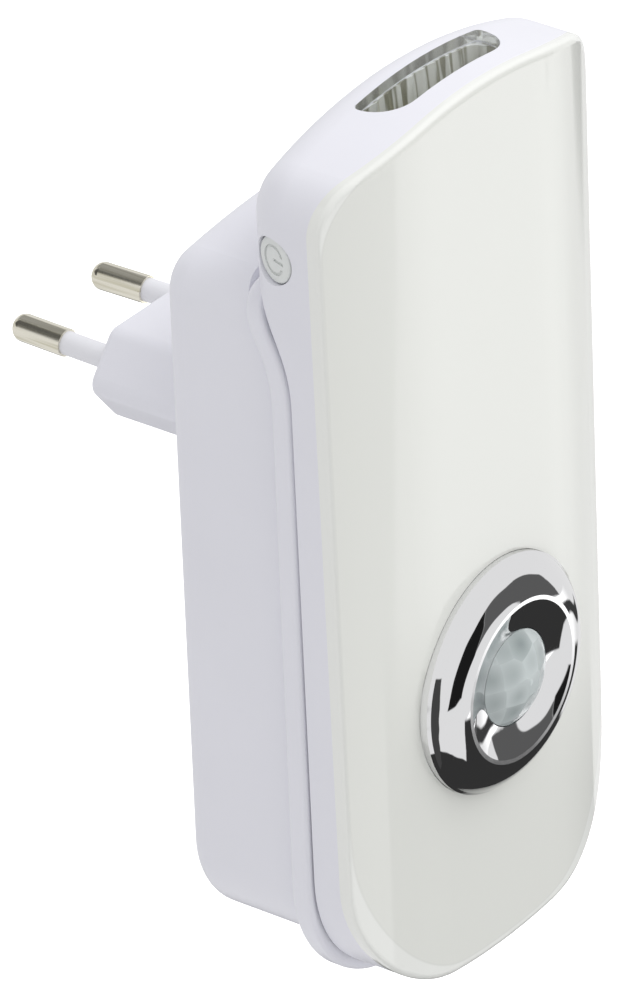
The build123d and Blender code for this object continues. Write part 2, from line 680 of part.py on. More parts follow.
def on_supply_board(size, points, edge):
    """moulded blocks standing on the rear of the supply board"""
    width, depth, height = size
    with BuildPart() as block:
        with BuildSketch(at_depth(SUPPLY_REAR - depth)):
            with Locations(*points):
                Rectangle(width, height)
        extrude(amount=depth)
        if edge:
            fillet(block.faces().filter_by(Axis.Y).sort_by(Axis.Y)[-1].edges(), radius=edge)
    return block.part


film_capacitor = on_supply_board(FILM_SIZE, [FILM_AT], FILM_ROUND)
rectifier = on_supply_board(RECTIFIER_SIZE, [RECTIFIER_AT], FILM_ROUND / 2)
driver_chips = on_supply_board(DRIVER_SIZE, DRIVER_AT, TOUCH)

with BuildPart() as bulk_capacitors:
    with BuildSketch(at_depth(SUPPLY_REAR - BULK_HEIGHT)):
        with Locations(*BULK_AT):
            Circle(BULK_RADIUS)
    extrude(amount=BULK_HEIGHT)
    with BuildSketch(at_depth(SUPPLY_REAR - BULK_GROOVE_AT)):
        with Locations(*BULK_AT):
            Circle(BULK_RADIUS)
            Circle(BULK_RADIUS - BULK_GROOVE, mode=Mode.SUBTRACT)
    extrude(amount=BULK_GROOVE * 2, mode=Mode.SUBTRACT)

with BuildPart() as choke:
    with BuildSketch(at_depth(SUPPLY_REAR - CHOKE_HEIGHT)):
        with Locations(CHOKE_AT):
            Circle(CHOKE_RADIUS)
    extrude(amount=CHOKE_HEIGHT)
    with BuildSketch(at_depth(SUPPLY_REAR - CHOKE_HEIGHT + CHOKE_FLANGE)):
        with Locations(CHOKE_AT):
            Circle(CHOKE_RADIUS)
            Circle(CHOKE_CORE_RADIUS, mode=Mode.SUBTRACT)
    extrude(amount=CHOKE_HEIGHT - 2 * CHOKE_FLANGE, mode=Mode.SUBTRACT)

with BuildPart() as choke_winding:
    with BuildSketch(at_depth(SUPPLY_REAR - CHOKE_HEIGHT + CHOKE_FLANGE)):
        with Locations(CHOKE_AT):
            Circle(CHOKE_RADIUS - CHOKE_FLANGE / 2)
            Circle(CHOKE_CORE_RADIUS, mode=Mode.SUBTRACT)
    extrude(amount=CHOKE_HEIGHT - 2 * CHOKE_FLANGE)

FUSE_DEPTH = SUPPLY_REAR - FUSE_RADIUS - FUSE_LEAD_RADIUS
fuse_ends = leads(
    [
        [
            (FUSE_AT[0] + end * FUSE_LENGTH / 2, -FUSE_DEPTH, FUSE_AT[1]),
            (FUSE_AT[0] + end * FUSE_LEAD_REACH, -FUSE_DEPTH, FUSE_AT[1]),
            (FUSE_AT[0] + end * FUSE_LEAD_REACH, -SUPPLY_REAR, FUSE_AT[1]),
        ]
        for end in (-1, 1)
    ],
    FUSE_LEAD_RADIUS, FUSE_BEND,
)
with BuildPart() as fuse_resistor:
    with BuildSketch(Plane.YZ.offset(FUSE_AT[0] - FUSE_LENGTH / 2)):
        with Locations((-FUSE_DEPTH, FUSE_AT[1])):
            Circle(FUSE_RADIUS)
    extrude(amount=FUSE_LENGTH)
    add(fuse_ends)

PIN_TAILS = {end: pin_plane(end).offset(-PIN_TAIL).origin for end in (-1, 1)}
mains_leads = leads(
    [
        [
            (tail.X, tail.Y - FIT, 0),
            (tail.X, -MAINS_LEAD_TURN, 0),
            (end * MAINS_LEAD_X, -MAINS_LEAD_TURN, 0),
            (end * MAINS_LEAD_X, -SUPPLY_REAR, 0),
        ]
        for end, tail in PIN_TAILS.items()
    ],
    MAINS_LEAD_RADIUS, MAINS_LEAD_BEND,
)


# ---- charging coils ------------------------------------------------------------------
def flat_coil(seat, away):
    """spiral winding seen as grooves, flat against a wall at the given depth"""
    face = seat + away * COIL_THICKNESS
    pitch = (COIL_RADIUS - COIL_BORE) / COIL_GROOVES
    with BuildPart() as winding:
        with BuildSketch(at_depth(seat)):
            with Locations((0, COIL_Z)):
                Circle(COIL_RADIUS)
                Circle(COIL_BORE, mode=Mode.SUBTRACT)
        extrude(amount=away * COIL_THICKNESS)
        with BuildSketch(at_depth(face)):
            with Locations((0, COIL_Z)):
                for turn in range(1, COIL_GROOVES):
                    Circle(COIL_BORE + turn * pitch + COIL_GROOVE_WIDTH / 2)
                    Circle(COIL_BORE + turn * pitch - COIL_GROOVE_WIDTH / 2, mode=Mode.SUBTRACT)
        extrude(amount=-away * COIL_GROOVE_DEPTH, mode=Mode.SUBTRACT)
    return winding.part


def ferrite_disc(seat, away):
    """thin ferrite sheet behind a coil"""
    with BuildPart() as sheet:
        with BuildSketch(at_depth(seat)):
            with Locations((0, COIL_Z)):
                Circle(FERRITE_RADIUS)
        extrude(amount=away * FERRITE_THICKNESS)
    return sheet.part


def coil_tails(coil_depth, board_depth, side):
    """two leads from the rim of a coil, out past it and across to a board"""
    rim = COIL_Z + side * sqrt(COIL_RADIUS**2 - COIL_LEAD_X**2)
    turn = rim + side * COIL_LEAD_DROP
    routes = [
        [(x, -coil_depth, rim), (x, -coil_depth, turn), (x, -board_depth, turn)]
        for x in (-COIL_LEAD_X, COIL_LEAD_X)
    ]
    return leads(routes, COIL_LEAD_RADIUS, COIL_LEAD_BEND)


send_coil = flat_coil(TRAY_REAR, -1)
send_ferrite = ferrite_disc(TRAY_REAR - COIL_THICKNESS, -1)
send_coil_leads = coil_tails(TRAY_REAR - COIL_THICKNESS / 2, SUPPLY_FRONT, -1)
receive_coil = flat_coil(CHANNEL_FLOOR, 1)
receive_ferrite = ferrite_disc(CHANNEL_FLOOR + COIL_THICKNESS, 1)
receive_coil_leads = coil_tails(CHANNEL_FLOOR + COIL_THICKNESS / 2, BOARD_REAR, 1)

# ---- power button axis ---------------------------------------------------------------
BUTTON_OUT = Vector(-cos(radians(BUTTON_TURN)), sin(radians(BUTTON_TURN)), 0)
BUTTON_DEPTH = HEAD_BACK + BUTTON_SETBACK
BUTTON_FACE = Vector(
    -(LAMP_WIDTH / 2 - HEAD_ROUND) - sqrt(HEAD_ROUND**2 - (HEAD_ROUND - BUTTON_SETBACK)**2),
    -BUTTON_DEPTH,
    BUTTON_Z,
)


def button_plane(inward):
    """plane across the button's axis, a distance in from the surface, its normal pointing in"""
    return Plane(origin=BUTTON_FACE - BUTTON_OUT * inward, x_dir=(0, 0, 1), z_dir=-BUTTON_OUT)


# ---- lamp housing --------------------------------------------------------------------
def lamp_solid(inset, back, setback, rounding):
    """solid inside the lamp's skin, or the hollow inside its walls"""
    outline = lamp_outline(inset)
    side_view = ahead_of_step(back, STEP_CLEARANCE)
    plan = behind_face(setback)
    with BuildPart() as body:
        with BuildSketch(at_depth(back - STEP_BACK)):
            add(outline)
        extrude(amount=REACH_Y - back)
        fillet(body.faces().sort_by(Axis.Y)[-1].edges(), radius=rounding)
        with BuildSketch(Plane.YZ):
            add(side_view)
        extrude(amount=REACH_X, both=True, mode=Mode.INTERSECT)
        with BuildSketch(Plane.XY):
            add(plan)
        extrude(amount=REACH_Z, both=True, mode=Mode.INTERSECT)
    return body.part


lamp_skin = lamp_solid(TOUCH, LAMP_BACK, COVER_THICKNESS, HEAD_ROUND)
lamp_hollow = lamp_solid(LAMP_WALL, CHANNEL_FLOOR, TOUCH, HEAD_ROUND - LAMP_WALL)

with BuildPart() as button_boss:
    with BuildSketch(button_plane(-HEAD_ROUND)):
        Circle(BUTTON_BOSS_RADIUS)
    extrude(amount=HEAD_ROUND + BUTTON_BOSS_END)
    add(lamp_skin, mode=Mode.INTERSECT)

SHELF_OFFSET = (SWITCH_SIZE + SHELF_THICKNESS) / 2 + FIT
with BuildPart() as switch_shelves:
    with BuildSketch(button_plane(SWITCH_AT)):
        with Locations((-SHELF_OFFSET, SWITCH_SIZE / 2), (SHELF_OFFSET, SWITCH_SIZE / 2)):
            Rectangle(SHELF_THICKNESS, SHELF_REACH, align=(Align.CENTER, Align.MAX))
    extrude(amount=SWITCH_THICKNESS)
    add(lamp_skin, mode=Mode.INTERSECT)

with BuildPart() as lamp_housing:
    add(lamp_skin)
    add(lamp_hollow, mode=Mode.SUBTRACT)
    add(button_boss.part)
    add(switch_shelves.part)
    with BuildSketch(at_depth(CHANNEL_FLOOR)):
        with Locations((0, CHANNEL_TOP + CHANNEL_WALL)):
            Rectangle(RAIL_HEAD_WIDTH + 2 * GAP + 2 * CHANNEL_WALL,
                      CHANNEL_TOP + CHANNEL_WALL - LAMP_BOTTOM - LAMP_WALL / 2,
                      align=(Align.CENTER, Align.MAX))
    extrude(amount=CHANNEL_COVER + CHANNEL_WALL - CHANNEL_FLOOR)
    with BuildSketch(at_depth(CHANNEL_FLOOR)):
        with Locations(*LAMP_SCREWS_AT):
            Circle(LAMP_POST_RADIUS)
    extrude(amount=LAMP_POST_END - CHANNEL_FLOOR)
    with BuildSketch(at_depth(CHANNEL_FLOOR)):
        with Locations(*BOARD_SCREWS_AT):
            Circle(BOARD_POST_RADIUS)
    extrude(amount=BOARD_REAR - CHANNEL_FLOOR)
    with BuildSketch(at_depth(CHANNEL_FLOOR)):
        with Locations((0, CHANNEL_TOP)):
            Rectangle(RAIL_HEAD_WIDTH + 2 * GAP, REACH_Z, align=(Align.CENTER, Align.MAX))
    extrude(amount=CHANNEL_COVER - CHANNEL_FLOOR, mode=Mode.SUBTRACT)
    with BuildSketch(at_depth(LAMP_BACK)):
        with Locations((0, CHANNEL_TOP)):
            Rectangle(RAIL_STEM_WIDTH + 2 * GAP, REACH_Z, align=(Align.CENTER, Align.MAX))
    extrude(amount=LAMP_BACK_WALL, mode=Mode.SUBTRACT)
    with BuildSketch(at_depth(LAMP_BACK)):
        with Locations(*LAMP_SCREWS_AT):
            Circle(LAMP_SCREW_HEAD + SCREW_CLEARANCE)
    extrude(amount=LAMP_SCREW_SEAT - LAMP_BACK, mode=Mode.SUBTRACT)
    with BuildSketch(at_depth(LAMP_BACK)):
        with Locations(*LAMP_SCREWS_AT):
            Circle(LAMP_SCREW_SHANK + SCREW_CLEARANCE)
    extrude(amount=LAMP_POST_END - LAMP_BACK, mode=Mode.SUBTRACT)
    with BuildSketch(at_depth(BOARD_REAR)):
        with Locations(*BOARD_SCREWS_AT):
            Circle(SMALL_SCREW_SHANK + FIT)
    extrude(amount=-SMALL_SCREW_LENGTH, mode=Mode.SUBTRACT)
    with BuildSketch(button_plane(-HEAD_ROUND)):
        Circle(BUTTON_RADIUS + BUTTON_GAP)
    extrude(amount=HEAD_ROUND * 2, mode=Mode.SUBTRACT)
    with BuildSketch(Plane.XY.offset(TORCH_BOARD_TOP)):
        add(window_outline(FIT))
    extrude(amount=LAMP_TOP, mode=Mode.SUBTRACT)

# ---- front cover and diffuser --------------------------------------------------------
with BuildPart() as front_cover:
    with BuildSketch(at_depth(HEAD_BACK)):
        add(lamp_outline())
    extrude(amount=REACH_Y - HEAD_BACK)
    with BuildSketch(Plane.XY):
        add(behind_face(TOUCH))
    extrude(amount=REACH_Z, both=True, mode=Mode.INTERSECT)
    across = front_cover.edges().filter_by(Axis.Y, reverse=True).filter_by(Axis.Z, reverse=True)
    fillet(across.filter_by(lambda edge: edge.center().Y < -LAMP_BACK), radius=COVER_EDGE)
    with BuildSketch(Plane.XY):
        add(behind_face(COVER_THICKNESS))
    extrude(amount=REACH_Z, both=True, mode=Mode.SUBTRACT)
    with BuildSketch(at_depth(COVER_REAR - FACE_FLAT)):
        with Locations((0, SENSOR_Z)):
            Circle(RING_TUBE_OUTER + TUBE_CLEARANCE)
    extrude(amount=REACH_Y, mode=Mode.SUBTRACT)
    with BuildSketch(at_depth(RING_FACE)):
        with Locations((0, SENSOR_Z)):
            Circle(RING_RADIUS + FIT)
    extrude(amount=REACH_Y, mode=Mode.SUBTRACT)

with BuildPart() as diffuser:
    with BuildSketch(at_depth(HEAD_BACK)):
        add(lamp_outline(LAMP_WALL + FIT))
    extrude(amount=REACH_Y - HEAD_BACK)
    with BuildSketch(Plane.XY):
        add(behind_face(COVER_THICKNESS))
    extrude(amount=REACH_Z, both=True, mode=Mode.INTERSECT)
    with BuildSketch(Plane.XY):
        add(behind_face(COVER_THICKNESS + DIFFUSER_THICKNESS))
    extrude(amount=REACH_Z, both=True, mode=Mode.SUBTRACT)
    with BuildSketch(at_depth(LAMP_POST_END + FIT)):
        with Locations(*LAMP_SCREWS_AT):
            Circle(LAMP_BOSS_RADIUS)
    extrude(amount=face_depth(LAMP_SCREW_X + LAMP_BOSS_RADIUS, COVER_THICKNESS) - LAMP_POST_END - FIT)
    with BuildSketch(at_depth(LAMP_POST_END)):
        with Locations(*LAMP_SCREWS_AT):
            Circle(LAMP_SCREW_SHANK + FIT)
    extrude(amount=LAMP_SCREW_SEAT + LAMP_SCREW_LENGTH + GAP - LAMP_POST_END, mode=Mode.SUBTRACT)
    with BuildSketch(at_depth(HEAD_BACK)):
        with Locations((0, SENSOR_Z)):
            Circle(RING_TUBE_OUTER + TUBE_CLEARANCE)
    extrude(amount=REACH_Y, mode=Mode.SUBTRACT)

lamp_screw_cuts = cross_cuts(
    LAMP_SCREWS_AT, at_depth(LAMP_SCREW_SEAT - LAMP_SCREW_HEAD_HEIGHT), LAMP_SCREW_HEAD * CROSS_RATIO,
    CROSS_WIDTH, LAMP_SCREW_HEAD_HEIGHT / 2,
)
with BuildPart() as lamp_screws:
    with BuildSketch(at_depth(LAMP_SCREW_SEAT - LAMP_SCREW_HEAD_HEIGHT)):
        with Locations(*LAMP_SCREWS_AT):
            Circle(LAMP_SCREW_HEAD)
    extrude(amount=LAMP_SCREW_HEAD_HEIGHT)
    with BuildSketch(at_depth(LAMP_SCREW_SEAT)):
        with Locations(*LAMP_SCREWS_AT):
            Circle(LAMP_SCREW_SHANK)
    extrude(amount=LAMP_SCREW_LENGTH)
    add(lamp_screw_cuts, mode=Mode.SUBTRACT)

# ---- ring and motion sensor ----------------------------------------------------------
with BuildPart() as chrome_ring:
    with BuildSketch(Plane.YZ):
        with BuildLine():
            outer_edge = Line((-RING_FACE, SENSOR_Z + RING_RADIUS),
                              (-RING_FACE - RING_EDGE, SENSOR_Z + RING_RADIUS))
            corner = Line(outer_edge @ 1, (-RING_FACE - RING_EDGE - RING_EDGE_ROUND,
                                           SENSOR_Z + RING_RADIUS - RING_EDGE_ROUND))
            rise = ThreePointArc(corner @ 1,
                                 (-RING_FACE - RING_SHOULDER_UP, SENSOR_Z + RING_SHOULDER_OUT),
                                 (-RING_FACE - RING_CREST, SENSOR_Z + RING_CREST_RADIUS + RING_CREST_LAND))
            land = Line(rise @ 1,
                        (-RING_FACE - RING_CREST, SENSOR_Z + RING_CREST_RADIUS - RING_CREST_LAND))
            dish = ThreePointArc(land @ 1, (-RING_FACE - RING_DISH_UP, SENSOR_Z + RING_DISH_RADIUS),
                                 (-RING_FACE - RING_LIP_UP, SENSOR_Z + RING_BORE))
            Polyline(dish @ 1, (-RING_FACE - RING_LIP_UP + RING_LIP, SENSOR_Z + RING_BORE),
                     (-RING_FACE - RING_LIP_UP + RING_LIP, SENSOR_Z + RING_TUBE_INNER),
                     (-RING_TUBE_END, SENSOR_Z + RING_TUBE_INNER),
                     (-RING_TUBE_END, SENSOR_Z + RING_TUBE_OUTER),
                     (-RING_FACE, SENSOR_Z + RING_TUBE_OUTER), outer_edge @ 0)
        make_face()
    revolve(axis=SENSOR_AXIS)

RETAINER_FRONT = face_depth(RETAINER_RADIUS, COVER_THICKNESS + DIFFUSER_THICKNESS)
with BuildPart() as ring_retainer:
    with BuildSketch(at_depth(RETAINER_FRONT)):
        with Locations((0, SENSOR_Z)):
            Circle(RETAINER_RADIUS)
            Circle(RING_TUBE_OUTER + FIT, mode=Mode.SUBTRACT)
    extrude(amount=-RETAINER_THICKNESS)

LENS_SEAT = RING_FACE + RING_LIP_UP - RING_LIP
LENS_EDGE = RING_FACE + RING_LIP_UP


def dome_points(radius, rise):
    """start, middle and apex of half a shallow dome's section"""
    sphere = (radius**2 + rise**2) / (2 * rise)
    half_angle = asin(radius / sphere) / 2
    middle_rise = rise - sphere * (1 - cos(half_angle))
    return [
        (-LENS_EDGE, SENSOR_Z + radius),
        (-LENS_EDGE - middle_rise, SENSOR_Z + sphere * sin(half_angle)),
        (-LENS_EDGE - rise, SENSOR_Z),
    ]


with BuildPart() as sensor_lens:
    with BuildSketch(Plane.YZ):
        with BuildLine():
            cap = ThreePointArc(*dome_points(LENS_RADIUS, LENS_RISE))
            Line(cap @ 1, (-LENS_EDGE - LENS_RISE + LENS_WALL, SENSOR_Z))
            hollow = ThreePointArc(*dome_points(LENS_RADIUS - LENS_WALL, LENS_RISE - LENS_WALL))
            Polyline(hollow @ 0, (-LENS_SEAT + LENS_FLANGE, SENSOR_Z + LENS_RADIUS - LENS_WALL),
                     (-LENS_SEAT + LENS_FLANGE, SENSOR_Z + LENS_FLANGE_RADIUS),
                     (-LENS_SEAT, SENSOR_Z + LENS_FLANGE_RADIUS), (-LENS_SEAT, SENSOR_Z + LENS_RADIUS),
                     cap @ 0)
        make_face()
    revolve(axis=SENSOR_AXIS)

with BuildPart() as sensor_collar:
    with BuildSketch(at_depth(BOARD_FRONT)):
        with Locations((0, SENSOR_Z)):
            Circle(LENS_FLANGE_RADIUS)
            Circle(COLLAR_BORE, mode=Mode.SUBTRACT)
    extrude(amount=LENS_SEAT - LENS_FLANGE - BOARD_FRONT)

with BuildPart() as motion_sensor:
    with BuildSketch(at_depth(BOARD_FRONT)):
        with Locations((0, SENSOR_Z)):
            Circle(CAN_RADIUS)
    extrude(amount=CAN_HEIGHT)
    fillet(motion_sensor.edges().group_by(Axis.Y)[0], radius=CAN_ROUND)
    with BuildSketch(at_depth(BOARD_FRONT)):
        with Locations((0, SENSOR_Z)):
            Circle(CAN_FLANGE_RADIUS)
    extrude(amount=CAN_FLANGE)
    with BuildSketch(at_depth(BOARD_FRONT + CAN_HEIGHT)):
        with Locations((0, SENSOR_Z)):
            Rectangle(*FILTER_SIZE)
    extrude(amount=-FILTER_DEPTH, mode=Mode.SUBTRACT)

with BuildPart() as sensor_window:
    with BuildSketch(at_depth(BOARD_FRONT + CAN_HEIGHT)):
        with Locations((0, SENSOR_Z)):
            Rectangle(*FILTER_SIZE)
    extrude(amount=-FILTER_DEPTH)


# ---- main board and its parts --------------------------------------------------------
def on_main_board(size, points):
    """flat parts on the front of the main board"""
    width, depth, height = size
    with BuildPart() as block:
        with BuildSketch(at_depth(BOARD_FRONT)):
            with Locations(*points):
                Rectangle(width, height)
        extrude(amount=depth)
    return block.part


with BuildPart() as main_board:
    with BuildSketch(at_depth(BOARD_REAR)):
        with Locations((0, (BOARD_TOP + BOARD_BOTTOM) / 2)):
            RectangleRounded(BOARD_WIDTH, BOARD_TOP - BOARD_BOTTOM, BOARD_CORNER)
        with Locations(*BOARD_SCREWS_AT):
            Circle(SMALL_SCREW_SHANK + SCREW_CLEARANCE, mode=Mode.SUBTRACT)
    extrude(amount=BOARD_THICKNESS)

board_screw_cuts = cross_cuts(
    BOARD_SCREWS_AT, at_depth(BOARD_FRONT + SMALL_SCREW_HEAD_HEIGHT / 2),
    SMALL_SCREW_HEAD * CROSS_RATIO, SMALL_SCREW_SHANK / 2, SMALL_SCREW_HEAD_HEIGHT,
)
with BuildPart() as board_screws:
    with BuildSketch(at_depth(BOARD_FRONT)):
        with Locations(*BOARD_SCREWS_AT):
            Circle(SMALL_SCREW_HEAD)
    extrude(amount=SMALL_SCREW_HEAD_HEIGHT)
    with BuildSketch(at_depth(BOARD_FRONT)):
        with Locations(*BOARD_SCREWS_AT):
            Circle(SMALL_SCREW_SHANK)
    extrude(amount=-SMALL_SCREW_LENGTH)
    add(board_screw_cuts, mode=Mode.SUBTRACT)

light_sensor = on_main_board(LIGHT_SENSOR_SIZE, [(0, SENSOR_Z + LIGHT_SENSOR_RISE)])
control_chips = on_main_board(CHIP_SIZE, CHIP_AT)
board_parts = on_main_board(PASSIVE_SIZE, [(x, z) for x in PASSIVE_X for z in PASSIVE_Z])

NIGHT_LEDS_AT = both_sides([(NIGHT_LED_X, z) for z in NIGHT_LED_Z])
with BuildPart() as night_leds:
    add(on_main_board(NIGHT_LED_SIZE, NIGHT_LEDS_AT))
    with BuildSketch(at_depth(BOARD_FRONT + NIGHT_LED_SIZE[1])):
        with Locations(*NIGHT_LEDS_AT):
            Circle(NIGHT_LED_WINDOW_RADIUS)
    extrude(amount=-NIGHT_LED_WINDOW_DEPTH, mode=Mode.SUBTRACT)

# ---- rechargeable cell ---------------------------------------------------------------
CELL_FRONT = BOARD_REAR - TAPE_THICKNESS
CELL_BOTTOM = CELL_TOP - CELL_SIZE[2]
CELL_MIDDLE = CELL_TOP - CELL_SIZE[2] / 2

with BuildPart() as cell:
    with BuildSketch(at_depth(CELL_FRONT - CELL_SIZE[1])):
        with Locations((0, CELL_MIDDLE)):
            Rectangle(CELL_SIZE[0], CELL_SIZE[2])
    extrude(amount=CELL_SIZE[1])
    fillet(cell.edges().filter_by(Axis.Z), radius=CELL_ROUND)

with BuildPart() as cell_tape:
    with BuildSketch(at_depth(CELL_FRONT)):
        with Locations((0, CELL_MIDDLE)):
            Rectangle(CELL_SIZE[0] - TAPE_MARGIN, (BOARD_TOP - CELL_MIDDLE) * 2 - TAPE_MARGIN)
    extrude(amount=TAPE_THICKNESS)

with BuildPart() as cell_strip:
    with BuildSketch(at_depth(CELL_FRONT - CELL_STRIP_THICKNESS)):
        with Locations((0, CELL_BOTTOM - CELL_STRIP_HEIGHT / 2)):
            Rectangle(CELL_SIZE[0] - CELL_STRIP_MARGIN, CELL_STRIP_HEIGHT)
    extrude(amount=CELL_STRIP_THICKNESS)

CELL_LEAD_DEPTH = CELL_FRONT - CELL_STRIP_THICKNESS / 2
CELL_LEAD_ROOT = CELL_BOTTOM - CELL_STRIP_HEIGHT
cell_leads = leads(
    [
        [
            (x, -CELL_LEAD_DEPTH, CELL_LEAD_ROOT),
            (x, -CELL_LEAD_DEPTH, CELL_LEAD_ROOT - CELL_LEAD_DROP),
            (x, -BOARD_REAR, CELL_LEAD_ROOT - CELL_LEAD_DROP),
        ]
        for x in (-CELL_LEAD_X, CELL_LEAD_X)
    ],
    CELL_LEAD_RADIUS, CELL_LEAD_BEND,
)

# ---- torch ---------------------------------------------------------------------------
with BuildPart() as torch_window:
    with BuildSketch(at_depth(HEAD_BACK)):
        add(lamp_outline())
    extrude(amount=REACH_Y)
    with BuildSketch(at_depth(HEAD_BACK)):
        add(lamp_outline(WINDOW_THICKNESS))
    extrude(amount=REACH_Y, mode=Mode.SUBTRACT)
    with BuildSketch(Plane.XY.offset(TORCH_BOARD_TOP)):
        add(window_outline())
    extrude(amount=LAMP_TOP, mode=Mode.INTERSECT)

with BuildPart() as torch_reflector:
    with BuildSketch(Plane.XY.offset(TORCH_BOARD_TOP)):
        with Locations((WINDOW_MIDDLE, -TORCH_DEPTH)):
            SlotOverall(REFLECTOR_LENGTH, REFLECTOR_WIDTH)
    extrude(amount=LAMP_TOP - TORCH_BOARD_TOP)
    add(lamp_hollow, mode=Mode.INTERSECT)
    for x, y in CUPS_AT:
        with Locations((x, y, TORCH_BOARD_TOP)):
            Cone(CUP_FOOT_RADIUS, CUP_MOUTH_RADIUS, CUP_HEIGHT,
                 align=(Align.CENTER, Align.CENTER, Align.MIN), mode=Mode.SUBTRACT)

with BuildPart() as torch_board:
    with BuildSketch(Plane.XY.offset(TORCH_BOARD_TOP - TORCH_BOARD_THICKNESS)):
        with Locations((WINDOW_MIDDLE, -TORCH_DEPTH)):
            SlotOverall(REFLECTOR_LENGTH, REFLECTOR_WIDTH)
    extrude(amount=TORCH_BOARD_THICKNESS)

with BuildPart() as torch_leds:
    with BuildSketch(Plane.XY.offset(TORCH_BOARD_TOP)):
        with Locations(*TORCH_LEDS_AT):
            Rectangle(TORCH_LED_SIZE, TORCH_LED_SIZE)
    extrude(amount=TORCH_LED_BASE)
    for x, y in TORCH_LEDS_AT:
        with Locations((x, y, TORCH_BOARD_TOP + TORCH_LED_BASE)):
            Sphere(TORCH_LED_DOME, arc_size1=0)

TORCH_LEAD_ROOT = TORCH_BOARD_TOP - TORCH_BOARD_THICKNESS
BOARD_MIDDLE = (BOARD_REAR + BOARD_FRONT) / 2
torch_leads = leads(
    [
        [
            (x, -TORCH_DEPTH, TORCH_LEAD_ROOT),
            (x, -TORCH_DEPTH, TORCH_LEAD_ROOT - TORCH_LEAD_DROP),
            (x, -BOARD_MIDDLE, TORCH_LEAD_ROOT - TORCH_LEAD_DROP),
            (x, -BOARD_MIDDLE, BOARD_TOP),
        ]
        for x in (-TORCH_LEAD_X, TORCH_LEAD_X)
    ],
    TORCH_LEAD_RADIUS, TORCH_LEAD_BEND,
)

# ---- power button and its switch -----------------------------------------------------
BUTTON_FLANGE_AT = BUTTON_BOSS_END + GAP
with BuildPart() as power_button:
    with BuildSketch(button_plane(BUTTON_SINK)):
        Circle(BUTTON_RADIUS)
    extrude(amount=BUTTON_FLANGE_AT - BUTTON_SINK)
    fillet(power_button.edges().sort_by(Axis(BUTTON_FACE, BUTTON_OUT))[-1], radius=BUTTON_EDGE)
    with BuildSketch(button_plane(BUTTON_FLANGE_AT)):
        SlotOverall(BUTTON_FLANGE_LENGTH, BUTTON_FLANGE_WIDTH)
    extrude(amount=BUTTON_FLANGE)
    with BuildSketch(button_plane(BUTTON_FLANGE_AT)):
        Circle(BUTTON_STEM_RADIUS)
    extrude(amount=SWITCH_AT - PLUNGER_PROUD - BUTTON_FLANGE_AT)
    with BuildSketch(button_plane(BUTTON_SINK)):
        Circle(SYMBOL_RADIUS + SYMBOL_STROKE / 2)
        Circle(SYMBOL_RADIUS - SYMBOL_STROKE / 2, mode=Mode.SUBTRACT)
        with Locations((0, SYMBOL_RADIUS)):
            Rectangle(SYMBOL_GAP, SYMBOL_RADIUS, mode=Mode.SUBTRACT)
        with Locations((0, SYMBOL_RADIUS / 2)):
            Rectangle(SYMBOL_STROKE, SYMBOL_BAR)
    extrude(amount=SYMBOL_DEPTH, mode=Mode.SUBTRACT)

with BuildPart() as switch_plunger:
    with BuildSketch(button_plane(SWITCH_AT - PLUNGER_PROUD)):
        Circle(PLUNGER_RADIUS)
    extrude(amount=PLUNGER_PROUD + PLUNGER_SINK)

with BuildPart() as side_switch:
    with BuildSketch(button_plane(SWITCH_AT)):
        Rectangle(SWITCH_SIZE, SWITCH_SIZE)
    extrude(amount=SWITCH_THICKNESS)
    with BuildSketch(button_plane(SWITCH_AT)):
        Circle(PLUNGER_RADIUS + FIT)
    extrude(amount=PLUNGER_SINK + BUTTON_TRAVEL + GAP, mode=Mode.SUBTRACT)

with BuildPart() as switch_board:
    with BuildSketch(button_plane(SWITCH_AT + SWITCH_THICKNESS)):
        Rectangle(SWITCH_BOARD_LENGTH, SWITCH_BOARD_WIDTH)
    extrude(amount=SWITCH_BOARD_THICKNESS)

SWITCH_LEAD_ROOT = button_plane(SWITCH_AT + SWITCH_THICKNESS + SWITCH_BOARD_THICKNESS).origin
SWITCH_LEAD_X = (SWITCH_LEAD_ROOT.X - BOARD_WIDTH / 2) / 2
SWITCH_LEAD_Y = SWITCH_LEAD_ROOT.Y - (SWITCH_LEAD_X - SWITCH_LEAD_ROOT.X) * tan(radians(BUTTON_TURN))
switch_leads = leads(
    [
        [
            (SWITCH_LEAD_ROOT.X, SWITCH_LEAD_ROOT.Y, z),
            (SWITCH_LEAD_X, SWITCH_LEAD_Y, z),
            (SWITCH_LEAD_X, -BOARD_MIDDLE, z),
            (-BOARD_WIDTH / 2, -BOARD_MIDDLE, z),
        ]
        for z in (BUTTON_Z - SWITCH_LEAD_Z, BUTTON_Z + SWITCH_LEAD_Z)
    ],
    SWITCH_LEAD_RADIUS, SWITCH_LEAD_BEND,
)

